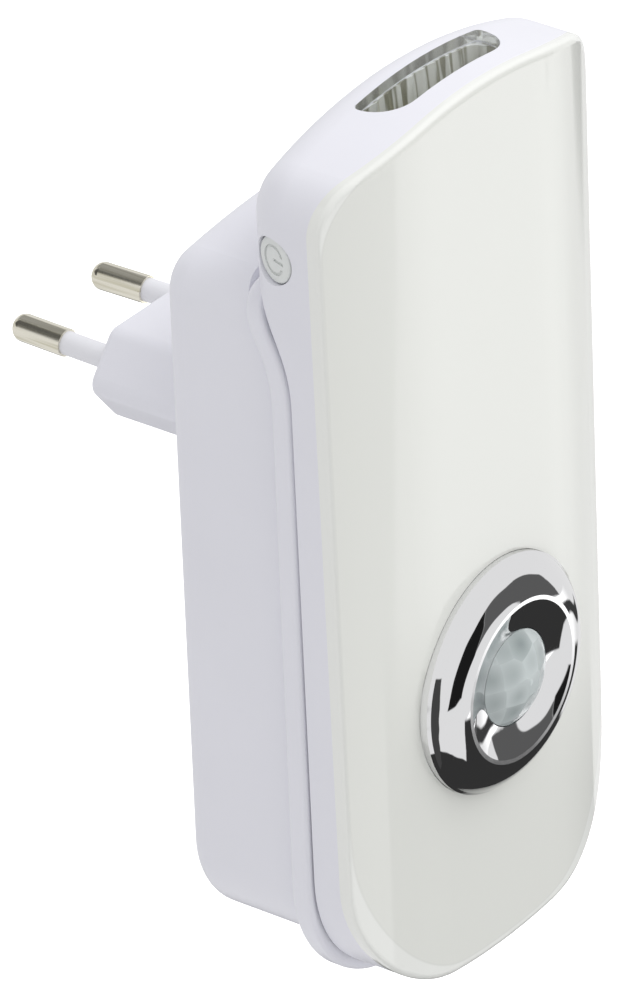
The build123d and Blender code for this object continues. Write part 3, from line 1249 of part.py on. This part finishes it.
PIECES = {
    "plug_pin_left": plug_pin_left,
    "plug_pin_right": plug_pin_right,
    "pin_sleeve_left": pin_sleeve_left,
    "pin_sleeve_right": pin_sleeve_right,
    "pin_carrier": pin_carrier.part,
    "dock_shell": dock_shell.part,
    "dock_tray": dock_tray.part,
    "dock_screws": dock_screws.part,
    "supply_board": supply_board.part,
    "supply_screws": supply_screws.part,
    "film_capacitor": film_capacitor,
    "bulk_capacitors": bulk_capacitors.part,
    "rectifier": rectifier,
    "driver_chips": driver_chips,
    "choke": choke.part,
    "choke_winding": choke_winding.part,
    "fuse_resistor": fuse_resistor.part,
    "mains_leads": mains_leads,
    "send_coil": send_coil,
    "send_ferrite": send_ferrite,
    "send_coil_leads": send_coil_leads,
    "lamp_housing": lamp_housing.part,
    "front_cover": front_cover.part,
    "diffuser": diffuser.part,
    "lamp_screws": lamp_screws.part,
    "chrome_ring": chrome_ring.part,
    "ring_retainer": ring_retainer.part,
    "sensor_lens": sensor_lens.part,
    "sensor_collar": sensor_collar.part,
    "motion_sensor": motion_sensor.part,
    "sensor_window": sensor_window.part,
    "light_sensor": light_sensor,
    "main_board": main_board.part,
    "board_screws": board_screws.part,
    "control_chips": control_chips,
    "board_parts": board_parts,
    "night_leds": night_leds.part,
    "receive_coil": receive_coil,
    "receive_ferrite": receive_ferrite,
    "receive_coil_leads": receive_coil_leads,
    "cell": cell.part,
    "cell_tape": cell_tape.part,
    "cell_strip": cell_strip.part,
    "cell_leads": cell_leads,
    "torch_window": torch_window.part,
    "torch_reflector": torch_reflector.part,
    "torch_board": torch_board.part,
    "torch_leds": torch_leds.part,
    "torch_leads": torch_leads,
    "power_button": power_button.part,
    "switch_plunger": switch_plunger.part,
    "side_switch": side_switch.part,
    "switch_board": switch_board.part,
    "switch_leads": switch_leads,
}
for label, shape in PIECES.items():
    shape.label = label
    export_step(shape, f"parts/{label}.step")
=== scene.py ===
import json
import math

import bpy
from mathutils import Matrix, Vector

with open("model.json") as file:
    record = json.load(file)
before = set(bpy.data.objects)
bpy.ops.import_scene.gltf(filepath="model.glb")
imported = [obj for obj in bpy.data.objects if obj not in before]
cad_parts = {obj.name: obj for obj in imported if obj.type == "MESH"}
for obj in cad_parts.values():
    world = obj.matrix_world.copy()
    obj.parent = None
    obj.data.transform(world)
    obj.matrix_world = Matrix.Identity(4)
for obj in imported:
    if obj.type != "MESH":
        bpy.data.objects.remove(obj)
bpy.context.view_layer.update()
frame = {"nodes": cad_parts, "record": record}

NODES = frame["nodes"]
MM = 0.001

# ---- camera ----------------------------------------------------------------------------
# where the camera stands from the part's origin, in degrees and metres, and how far it then moves
# across its view; the sensor is in millimetres, the focal length in pixels of the photograph
CAMERA_AZIMUTH = -51.887
CAMERA_ELEVATION = 29.854
CAMERA_ROLL = -2.341
CAMERA_DISTANCE = 1534.55 * MM
CAMERA_SIDE = 20.0 * MM
CAMERA_RISE = -23.312 * MM
CAMERA_NEAR = 0.01
CAMERA_FAR = 20.0
SENSOR = 36.0
FOCAL_PIXELS = 11228.4
IMAGE_HEIGHT = 1000


def towards(azimuth, elevation):
    """unit vector in a direction: degrees round from the front towards +X, and degrees up"""
    a = math.radians(azimuth)
    e = math.radians(elevation)
    return Vector((math.sin(a) * math.cos(e), -math.cos(a) * math.cos(e), math.sin(e)))


def make_camera():
    """camera at the photograph's viewing angle"""
    back = towards(CAMERA_AZIMUTH, CAMERA_ELEVATION)
    right = towards(CAMERA_AZIMUTH + 90.0, 0.0)
    up = back.cross(right)
    roll = math.radians(CAMERA_ROLL)
    turned_right = right * math.cos(roll) + up * math.sin(roll)
    turned_up = up * math.cos(roll) - right * math.sin(roll)
    data = bpy.data.cameras.new("camera")
    # AUTO lays the sensor's width along the longer side of the image, which is its height
    data.sensor_fit = "AUTO"
    data.sensor_width = SENSOR
    data.lens = FOCAL_PIXELS * SENSOR / IMAGE_HEIGHT
    data.clip_start = CAMERA_NEAR
    data.clip_end = CAMERA_FAR
    camera = bpy.data.objects.new("camera", data)
    place = Matrix((turned_right, turned_up, back)).transposed().to_4x4()
    place.translation = right * CAMERA_SIDE + up * CAMERA_RISE + back * CAMERA_DISTANCE
    camera.matrix_world = place
    bpy.context.scene.collection.objects.link(camera)
    bpy.context.scene.camera = camera


# ---- node helpers ----------------------------------------------------------------------
# the Mix node's sockets for colours, which share their names with those for numbers
MIX_FACTOR = 0
MIX_A = 6
MIX_B = 7
MIX_RESULT = 2


class Tree:
    """short way to write nodes"""

    def __init__(self, tree):
        self.tree = tree

    def feed(self, socket, value):
        """link a node's output to the socket, or write a number, vector or colour on it"""
        if isinstance(value, bpy.types.NodeSocket):
            self.tree.links.new(value, socket)
        elif socket.type == "RGBA":
            socket.default_value = (*value, 1.0)
        else:
            socket.default_value = value

    def node(self, kind, feeds=None, **settings):
        made = self.tree.nodes.new(kind)
        for key, value in settings.items():
            setattr(made, key, value)
        for key, value in (feeds or {}).items():
            self.feed(made.inputs[key], value)
        return made

    def place(self):
        return self.node("ShaderNodeTexCoord").outputs["Object"]

    def split(self, vector):
        """x, y and z of a vector"""
        return self.node("ShaderNodeSeparateXYZ", {"Vector": vector}).outputs

    def noise(self, scale, detail, stretch=(1.0, 1.0, 1.0), at=None):
        """noise from 0 to 1, with so many cells to a unit of length; a stretch below 1 draws it out"""
        where = self.place() if at is None else at
        mapping = self.node("ShaderNodeMapping", {"Vector": where, "Scale": stretch})
        feeds = {"Vector": mapping.outputs["Vector"], "Scale": scale, "Detail": detail}
        return self.node("ShaderNodeTexNoise", feeds).outputs["Fac"]

    def math(self, operation, *values, clamp=False):
        feeds = dict(enumerate(values))
        return self.node("ShaderNodeMath", feeds, operation=operation, use_clamp=clamp).outputs[0]

    def plus(self, a, b, clamp=False):
        return self.math("ADD", a, b, clamp=clamp)

    def minus(self, a, b, clamp=False):
        return self.math("SUBTRACT", a, b, clamp=clamp)

    def times(self, a, b):
        return self.math("MULTIPLY", a, b)

    def lower(self, a, b):
        return self.math("MINIMUM", a, b)

    def higher(self, a, b):
        return self.math("MAXIMUM", a, b)

    def length(self, a, b):
        """length of a slanting line from its two sides"""
        return self.math("SQRT", self.plus(self.math("POWER", a, 2.0), self.math("POWER", b, 2.0)))

    def span(self, value, low, high):
        """low where the value is 0, high where it is 1"""
        feeds = {"Value": value, "To Min": low, "To Max": high}
        return self.node("ShaderNodeMapRange", feeds).outputs["Result"]

    def ramp(self, value, start, end):
        """0 where the value is at start, 1 where it is at end, eased between"""
        feeds = {"Value": value, "From Min": start, "From Max": end}
        return self.node("ShaderNodeMapRange", feeds, interpolation_type="SMOOTHSTEP").outputs["Result"]

    def mix(self, factor, a, b):
        """colour a where the factor is 0, colour b where it is 1"""
        feeds = {MIX_FACTOR: factor, MIX_A: a, MIX_B: b}
        return self.node("ShaderNodeMix", feeds, data_type="RGBA").outputs[MIX_RESULT]


class Surface(Tree):
    """a new material"""

    def __init__(self, name):
        self.material = bpy.data.materials.new(name)
        self.material.use_nodes = True
        super().__init__(self.material.node_tree)
        self.shader = self.tree.nodes["Principled BSDF"]
        self.output = self.tree.nodes["Material Output"]

    def set(self, **inputs):
        """feed the shader's inputs, named with _ for each space"""
        for key, value in inputs.items():
            self.feed(self.shader.inputs[key.replace("_", " ")], value)

    def bump(self, height, distance, strength=1.0):
        feeds = {"Height": height, "Distance": distance, "Strength": strength}
        self.set(Normal=self.node("ShaderNodeBump", feeds).outputs["Normal"])


# ---- mouldings ---------------------------------------------------------------------------
WHITE = (0.80, 0.80, 0.86)
BUTTON_WHITE = (0.74, 0.76, 0.75)
SLEEVE_WHITE = (0.80, 0.80, 0.84)
COLOUR_DRIFT = 0.02
GLOSS_DRIFT = 0.06
GRAIN_DEPTH = 0.004 * MM


def scaled(colour, factor):
    return tuple(min(c * factor, 1.0) for c in colour)


def grained(name, colour, rough, metal=0.0):
    """a surface with fine grain, a little colour drift and uneven gloss"""
    t = Surface(name)
    drift = t.noise(scale=60.0, detail=2.0)
    grain = t.noise(scale=1500.0, detail=4.0)
    t.set(
        Base_Color=t.mix(drift, scaled(colour, 1.0 - COLOUR_DRIFT), scaled(colour, 1.0 + COLOUR_DRIFT)),
        Roughness=t.span(grain, rough - GLOSS_DRIFT, rough + GLOSS_DRIFT),
        Metallic=metal,
    )
    t.bump(grain, GRAIN_DEPTH)
    return t.material


# ---- front cover -------------------------------------------------------------------------
PANEL = (0.765, 0.775, 0.735)
# colour of the clear rim outside the print, lighter than the print: a painted highlight along the edge's
# rounding
RIM_AND_HIGHLIGHT = (0.84, 0.85, 0.82)
PANEL_DRIFT = 0.005
ACRYLIC_IOR = 1.49
# the denoiser takes gloss below 0.274 for a mirror, so a range that crosses it would speckle
PANEL_ROUGHNESS = (0.29, 0.33)

# The print under the cover, in millimetres. It ends this far in from the outline, more at the low end
# than along the sides, and the one grows into the other between two heights above the lower end.
PRINT_EDGE_SIDE = 0.4
PRINT_EDGE_END = 1.5
PRINT_EDGE_GROWS = (34.0, 8.0)
PRINT_BLUR = 0.2
# a faint darker line follows the print's edge: painted shade that stands in for the refraction at the
# cover's clear edge
SHADE_LINE_HALF_WIDTH = 0.25
SHADE_LINE_STRENGTH = 0.22
SHADE_LINE_TONE = 0.7

# the lamp's outline in millimetres: half widths, ends, and the radii of its arched ends and corners
TOP_HALF = 30.1
BOTTOM_HALF = 29.0
TOP = 54.5
BOTTOM = -78.5
TOP_ARCH = 77.0
BOTTOM_ARCH = 93.2
TOP_CORNER = 7.8
BOTTOM_CORNER = 20.8


def edge_distance(t):
    """distance in from the lamp's outline, and the height, both in millimetres"""
    x, _, z = t.split(t.place())
    x = t.times(t.math("ABSOLUTE", x), 1.0 / MM)
    z = t.times(z, 1.0 / MM)
    slope = (TOP_HALF - BOTTOM_HALF) / (TOP - BOTTOM)
    half = t.plus(t.times(t.minus(z, BOTTOM), slope), BOTTOM_HALF)
    side = t.minus(half, x)

    def end_distance(peak, radius, corner, sign):
        """distance in from one arched end with its rounded corners, and from its plain lines"""
        rise = t.minus(z, peak - sign * radius)
        end = t.minus(radius, t.length(x, rise))
        across = t.higher(t.minus(corner, side), 0.0)
        along = t.higher(t.minus(corner, end), 0.0)
        return t.minus(corner, t.length(across, along)), t.lower(side, end)

    top_round, top_plain = end_distance(TOP, TOP_ARCH, TOP_CORNER, 1)
    bottom_round, bottom_plain = end_distance(BOTTOM, BOTTOM_ARCH, BOTTOM_CORNER, -1)
    plain = t.lower(top_plain, bottom_plain)
    return t.lower(t.lower(top_round, bottom_round), plain), z


def cover_material():
    """clear polished acrylic over a white print that stops short of the edge; the rim outside the print
    carries a painted highlight, and a painted shade line runs along the print's edge
    """
    t = Surface("cover_acrylic")
    distance, height = edge_distance(t)
    low_end = t.ramp(height, *(BOTTOM + rise for rise in PRINT_EDGE_GROWS))
    past = t.minus(distance, t.span(low_end, PRINT_EDGE_SIDE, PRINT_EDGE_END))
    printed = t.ramp(past, -PRINT_BLUR, PRINT_BLUR)
    # painted shade: a faint darker line along the print's edge, where the clear edge refracts
    line = t.minus(1.0, t.times(t.math("ABSOLUTE", past), 1.0 / SHADE_LINE_HALF_WIDTH), clamp=True)
    drift = t.noise(scale=40.0, detail=2.0)
    face = t.mix(drift, scaled(PANEL, 1.0 - PANEL_DRIFT), scaled(PANEL, 1.0 + PANEL_DRIFT))
    t.set(
        Base_Color=t.mix(t.times(line, SHADE_LINE_STRENGTH), t.mix(printed, RIM_AND_HIGHLIGHT, face), scaled(PANEL, SHADE_LINE_TONE)),
        Roughness=t.span(t.noise(scale=300.0, detail=2.0), *PANEL_ROUGHNESS),
        Coat_Weight=1.0,
        Coat_Roughness=0.03,
        Coat_IOR=ACRYLIC_IOR,
    )
    return t.material


# ---- ring, lens, torch and pins ------------------------------------------------------------
CHROME = (0.86, 0.86, 0.87)
WAVINESS = 0.006 * MM

# the lens's facets: how many to the metre, how uneven, how much painted shade each facet gets at random,
# how much painted light grows towards its edges as a slope would catch it, and how deep they bump
FACETS = 300.0
FACET_UNEVENNESS = 0.35
FACET_PAINTED_SHADE = 0.55
FACET_PAINTED_EDGE_LIGHT = 0.9
FACET_DEPTH = 0.5 * MM
# the lens's colour runs from its painted shade to its painted light
LENS_PAINTED_SHADE = (0.26, 0.30, 0.30)
LENS_PAINTED_LIGHT = (0.55, 0.60, 0.60)
LENS_MILKINESS = 2.0 * MM

# the torch window's inner walls are those whose normal leans this little up or down
WALL_NORMAL = (0.6, 0.3)
WALL_MIRROR = 0.8


def chrome_material():
    """bright plating with faint waviness"""
    t = Surface("ring_chrome")
    t.set(
        Base_Color=t.mix(t.noise(scale=90.0, detail=2.0), scaled(CHROME, 0.98), CHROME),
        Roughness=t.span(t.noise(scale=1200.0, detail=4.0), 0.018, 0.048),
        Metallic=1.0,
    )
    t.bump(t.noise(scale=110.0, detail=2.0), WAVINESS)
    return t.material


def lens_material():
    """milky infra-red lens with a net of shallow facets, their light and shade painted into its colour"""
    t = Surface("lens_polymer")
    feeds = {"Vector": t.place(), "Scale": FACETS, "Randomness": FACET_UNEVENNESS}
    cells = t.node("ShaderNodeTexVoronoi", feeds, feature="F1")
    # painted light and shade of each facet: a random painted shade, lightened towards the facet's edges
    facet_painted_shade = t.node("ShaderNodeSeparateColor", {"Color": cells.outputs["Color"]}).outputs["Red"]
    painted_edge_light = t.times(cells.outputs["Distance"], FACET_PAINTED_EDGE_LIGHT)
    shade = t.plus(t.times(facet_painted_shade, FACET_PAINTED_SHADE), painted_edge_light, clamp=True)
    t.set(
        Base_Color=t.mix(shade, LENS_PAINTED_SHADE, LENS_PAINTED_LIGHT),
        Roughness=t.span(shade, 0.10, 0.22),
        Subsurface_Weight=0.25,
        Subsurface_Radius=(LENS_MILKINESS, LENS_MILKINESS, LENS_MILKINESS),
        Subsurface_Scale=1.0,
    )
    t.bump(cells.outputs["Distance"], FACET_DEPTH, strength=0.9)
    return t.material


def window_material():
    """clear moulded window: straight through, glossy at grazing angles, and mirroring inside its walls"""
    t = Surface("torch_window_clear")
    t.set(
        Base_Color=t.mix(t.noise(scale=80.0, detail=2.0), (0.84, 0.84, 0.83), (0.92, 0.92, 0.91)),
        Roughness=t.span(t.noise(scale=700.0, detail=3.0), 0.05, 0.12),
        Metallic=1.0,
    )
    clear = t.node("ShaderNodeBsdfTransparent", {"Color": (0.97, 0.98, 0.975)}).outputs["BSDF"]
    gloss = t.node("ShaderNodeFresnel", {"IOR": ACRYLIC_IOR}).outputs[0]
    inside = t.node("ShaderNodeNewGeometry").outputs["Backfacing"]
    _, _, upright = t.split(t.node("ShaderNodeTexCoord").outputs["Normal"])
    wall = t.ramp(t.math("ABSOLUTE", upright), *WALL_NORMAL)
    from_outside = t.times(gloss, t.minus(1.0, inside))
    from_inside = t.times(t.times(wall, inside), WALL_MIRROR)
    mirroring = t.higher(from_outside, from_inside)
    layered = t.node("ShaderNodeMixShader", {0: mirroring, 1: clear, 2: t.shader.outputs["BSDF"]})
    t.feed(t.output.inputs["Surface"], layered.outputs[0])
    return t.material


def reflector_material():
    """bright plating whose dark upright stripes are painted reflections"""
    t = Surface("reflector_chrome")
    # painted reflections: dark upright stripes in the colour stand for the dark stripes that the fluted
    # plating mirrors
    painted_reflection_stripes = t.ramp(t.noise(scale=600.0, detail=1.5, stretch=(1.0, 1.0, 0.10)), 0.46, 0.57)
    t.set(
        Base_Color=t.mix(painted_reflection_stripes, (0.98, 0.98, 0.97), (0.34, 0.33, 0.25)),
        Roughness=t.span(t.noise(scale=1200.0, detail=4.0), 0.10, 0.22),
        Metallic=0.45,
    )
    t.bump(t.noise(scale=140.0, detail=2.0), WAVINESS)
    return t.material


def pin_material():
    """nickelled brass, drawn along its length"""
    t = Surface("pin_metal")
    fine = t.noise(scale=1700.0, detail=2.0, stretch=(1.0, 0.02, 1.0))
    t.set(
        Base_Color=t.mix(t.ramp(fine, 0.35, 0.65), (0.66, 0.63, 0.51), (0.84, 0.81, 0.71)),
        Roughness=t.span(fine, 0.10, 0.20),
        Metallic=1.0,
    )
    t.bump(fine, 0.003 * MM)
    return t.material


# ---- the material of each slot ---------------------------------------------------------------
MATERIALS = {
    "cover_acrylic": cover_material(),
    "ring_chrome": chrome_material(),
    "reflector_chrome": reflector_material(),
    "lens_polymer": lens_material(),
    "torch_window_clear": window_material(),
    "pin_metal": pin_material(),
}
# each slot's colour and roughness
NON_METALS = {
    "housing_white": (WHITE, 0.36), "button_white": (BUTTON_WHITE, 0.34),
    "sleeve_plastic": (SLEEVE_WHITE, 0.45), "diffuser_opal": ((0.85, 0.85, 0.82), 0.6),
    "collar_black": ((0.03, 0.03, 0.03), 0.8), "sensor_filter": ((0.02, 0.02, 0.04), 0.15),
    "photocell_clear": ((0.6, 0.58, 0.48), 0.2), "carrier_plastic": ((0.7, 0.7, 0.67), 0.55),
    "board_laminate": ((0.03, 0.2, 0.08), 0.4), "film_case": ((0.62, 0.48, 0.06), 0.35),
    "bulk_sleeve": ((0.03, 0.035, 0.06), 0.3), "chip_black": ((0.02, 0.02, 0.022), 0.55),
    "fuse_body": ((0.1, 0.3, 0.38), 0.5), "choke_core": ((0.06, 0.06, 0.065), 0.7),
    "ferrite_sheet": ((0.05, 0.05, 0.055), 0.6), "lead_red": ((0.5, 0.03, 0.02), 0.4),
    "lead_blue": ((0.03, 0.08, 0.35), 0.4), "led_white": ((0.85, 0.8, 0.4), 0.4),
    "small_parts_beige": ((0.45, 0.36, 0.25), 0.5), "cell_strip_laminate": ((0.6, 0.36, 0.05), 0.4),
    "tape_white": ((0.75, 0.75, 0.72), 0.8), "switch_black": ((0.03, 0.03, 0.03), 0.5),
    "retainer_plastic": ((0.7, 0.7, 0.7), 0.5), "torch_board_white": ((0.75, 0.75, 0.74), 0.5),
}
METALS = {
    "screw_steel": ((0.55, 0.55, 0.56), 0.3), "winding_copper": ((0.7, 0.32, 0.18), 0.3),
    "sensor_can": ((0.62, 0.62, 0.64), 0.28), "cell_wrap": ((0.6, 0.62, 0.65), 0.35),
}
for table, metal in ((NON_METALS, 0.0), (METALS, 1.0)):
    for slot, (colour, rough) in table.items():
        MATERIALS[slot] = grained(slot, colour, rough, metal)


def dress_nodes():
    """each CAD node takes the finished material of its slot"""
    for entry in frame["record"]["subparts"]:
        mesh = NODES[entry["node"]].data
        mesh.materials.clear()
        mesh.materials.append(MATERIALS[entry["material_slot"]])


# ---- studio ----------------------------------------------------------------------------------
FLOOR_Z = -0.25
FLOOR_SIZE = 12.0
FLOOR_TONES = ((0.80, 0.80, 0.81), (0.82, 0.82, 0.82))
FLOOR_GLOW = 0.75
KEY_PLACE = Vector((0.7, -1.0, 1.3))
KEY_TARGET = Vector((0.0, -0.04, 0.0))
KEY_SIZE = 1.2
KEY_POWER = 12.0


def make_floor():
    """pale floor below the hanging part, lifted to white for the camera; polished faces miss it"""
    h = FLOOR_SIZE / 2
    mesh = bpy.data.meshes.new("floor")
    corners = [(x, y, FLOOR_Z) for x, y in ((-h, -h), (h, -h), (h, h), (-h, h))]
    mesh.from_pydata(corners, [], [(0, 1, 2, 3)])
    floor = bpy.data.objects.new("floor", mesh)
    bpy.context.scene.collection.objects.link(floor)
    t = Surface("floor_paper")
    t.set(Base_Color=t.mix(t.noise(scale=30.0, detail=3.0), *FLOOR_TONES), Roughness=0.8)
    ray = t.node("ShaderNodeLightPath").outputs
    shown = t.higher(ray["Is Camera Ray"], ray["Is Transmission Ray"])
    glow = t.node("ShaderNodeEmission", {"Color": (1.0, 1.0, 1.0), "Strength": t.times(shown, FLOOR_GLOW)})
    both = t.node("ShaderNodeAddShader", {0: t.shader.outputs["BSDF"], 1: glow.outputs[0]})
    t.feed(t.output.inputs["Surface"], both.outputs[0])
    mesh.materials.append(t.material)
    floor.visible_glossy = False


def make_key_lamp():
    """large soft area lamp, in front and high up, that polished faces don't mirror"""
    data = bpy.data.lights.new("key", "AREA")
    data.shape = "SQUARE"
    data.size = KEY_SIZE
    data.energy = KEY_POWER
    lamp = bpy.data.objects.new("key", data)
    lamp.location = KEY_PLACE
    lamp.visible_glossy = False
    lamp.rotation_mode = "QUATERNION"
    lamp.rotation_quaternion = (KEY_TARGET - KEY_PLACE).to_track_quat("-Z", "Y")
    bpy.context.scene.collection.objects.link(lamp)


# ---- room ------------------------------------------------------------------------------------
# brightness of the room's light, what the zenith adds to it, and what polished faces see instead
ROOM_LIGHT = 0.49
ZENITH_EXTRA = 0.60
MIRROR_LIGHT = 0.83

# In what polished faces see, angles are degrees: azimuths round from the front towards +X, elevations
# up from the level. A brighter pane in front, right of the middle, has a slanting left edge, which
# stands at PANE_EDGE at one elevation and moves by so many degrees for each degree above it.
PANE_LIGHT = 0.75
PANE_EDGE = 26.0
PANE_BLUR = 3.0
PANE_SLANT = 3.8
PANE_LEVEL = -30.0
PANE_RANGE = (-30.9, -5.0)
PANE_RIGHT = (60.0, 84.0)
# the low opening in front, right of the middle, with straight edges: azimuths, elevations, brightness
LOW_OPENING = ((19.0, 88.0), (-56.0, -30.9), 0.035)
# the other dark patches, with wavy edges: azimuths, elevations, brightness
ROOM_PATCHES = (
    ((-60.0, 150.0), (-92.0, -52.0), 0.035),
    ((76.0, 150.0), (-60.0, -38.0), 0.035),
    ((-62.0, -38.0), (-80.0, 6.0), 0.06),
    ((-174.0, -130.0), (12.0, 52.0), 0.12),
    ((-186.0, -130.0), (52.0, 80.0), 0.30),
    ((131.0, 184.0), (26.0, 80.0), 0.36),
)
# dark rings round one direction of the room: inner and outer radius, azimuths, elevations, brightness
RING_AZIMUTH = 27.0
RING_ELEVATION = -24.0
ROOM_RINGS = (
    ((18.0, 45.0), (-60.0, 18.0), (-22.0, 60.0), 0.012),
    ((19.0, 45.0), (18.0, 66.0), (-20.0, 60.0), 0.11),
    ((30.0, 75.0), (62.0, 100.0), (-26.8, -22.8), 0.05),
)
# blur of every edge, and the waves of the wavy ones: how close, and how far they swing in all
EDGE_SOFTNESS = 1.2
WAVE_SCALE = 4.0
WAVE_REACH = 5.0


def within(t, angle, limits):
    """1 where the angle is between its limits, 0 elsewhere, with soft edges"""
    low, high = limits
    half = EDGE_SOFTNESS / 2
    entered = t.ramp(angle, low - half, low + half)
    left = t.ramp(angle, high - half, high + half)
    return t.higher(t.minus(entered, left), 0.0)


def darkened(t, light, share, level):
    """the light, with a share of it replaced by another level"""
    return t.plus(t.times(light, t.minus(1.0, share)), t.times(share, level))


def mirrored_room(t, direction, azimuth, elevation):
    """brightness of what polished faces see in each direction"""
    slant = t.times(t.minus(elevation, PANE_LEVEL), PANE_SLANT)
    from_left = t.ramp(t.minus(azimuth, slant), PANE_EDGE, PANE_EDGE + PANE_BLUR)
    to_right = t.minus(1.0, t.ramp(azimuth, *PANE_RIGHT))
    pane = t.times(t.times(from_left, to_right), within(t, elevation, PANE_RANGE))
    light = t.plus(t.times(pane, PANE_LIGHT), MIRROR_LIGHT)
    across, upward, level = LOW_OPENING
    light = darkened(t, light, t.times(within(t, azimuth, across), within(t, elevation, upward)), level)

    axis = towards(RING_AZIMUTH, RING_ELEVATION)
    along = t.node("ShaderNodeVectorMath", {0: direction, 1: axis}, operation="DOT_PRODUCT")
    radius = t.math("DEGREES", t.math("ARCCOSINE", along.outputs["Value"]))
    wave = t.noise(WAVE_SCALE, detail=0.0, at=direction)
    shift = t.times(t.minus(wave, 0.5), WAVE_REACH)
    azimuth, elevation, radius = [t.plus(angle, shift) for angle in (azimuth, elevation, radius)]
    for across, upward, level in ROOM_PATCHES:
        share = t.times(within(t, azimuth, across), within(t, elevation, upward))
        light = darkened(t, light, share, level)
    for ring, across, upward, level in ROOM_RINGS:
        share = t.times(within(t, azimuth, across), within(t, elevation, upward))
        light = darkened(t, light, t.times(share, within(t, radius, ring)), level)
    return light


def make_world():
    """pale room, brighter overhead; the camera sees white, and polished faces the mirrored room"""
    world = bpy.data.worlds.new("room")
    bpy.context.scene.world = world
    world.use_nodes = True
    t = Tree(world.node_tree)
    direction = t.node("ShaderNodeTexCoord").outputs["Generated"]
    x, y, z = t.split(direction)
    light = t.plus(t.times(t.higher(z, 0.0), ZENITH_EXTRA), ROOM_LIGHT)
    azimuth = t.math("DEGREES", t.math("ARCTAN2", x, t.times(y, -1.0)))
    elevation = t.math("DEGREES", t.math("ARCSINE", z))
    mirrored = mirrored_room(t, direction, azimuth, elevation)
    ray = t.node("ShaderNodeLightPath").outputs
    lighting = t.mix(ray["Is Glossy Ray"], light, mirrored)
    shown = t.mix(ray["Is Camera Ray"], lighting, (1.0, 1.0, 1.0))
    t.feed(t.tree.nodes["Background"].inputs["Color"], shown)


make_camera()
dress_nodes()
make_floor()
make_world()
make_key_lamp()
bpy.context.scene.view_settings.view_transform = "Standard"
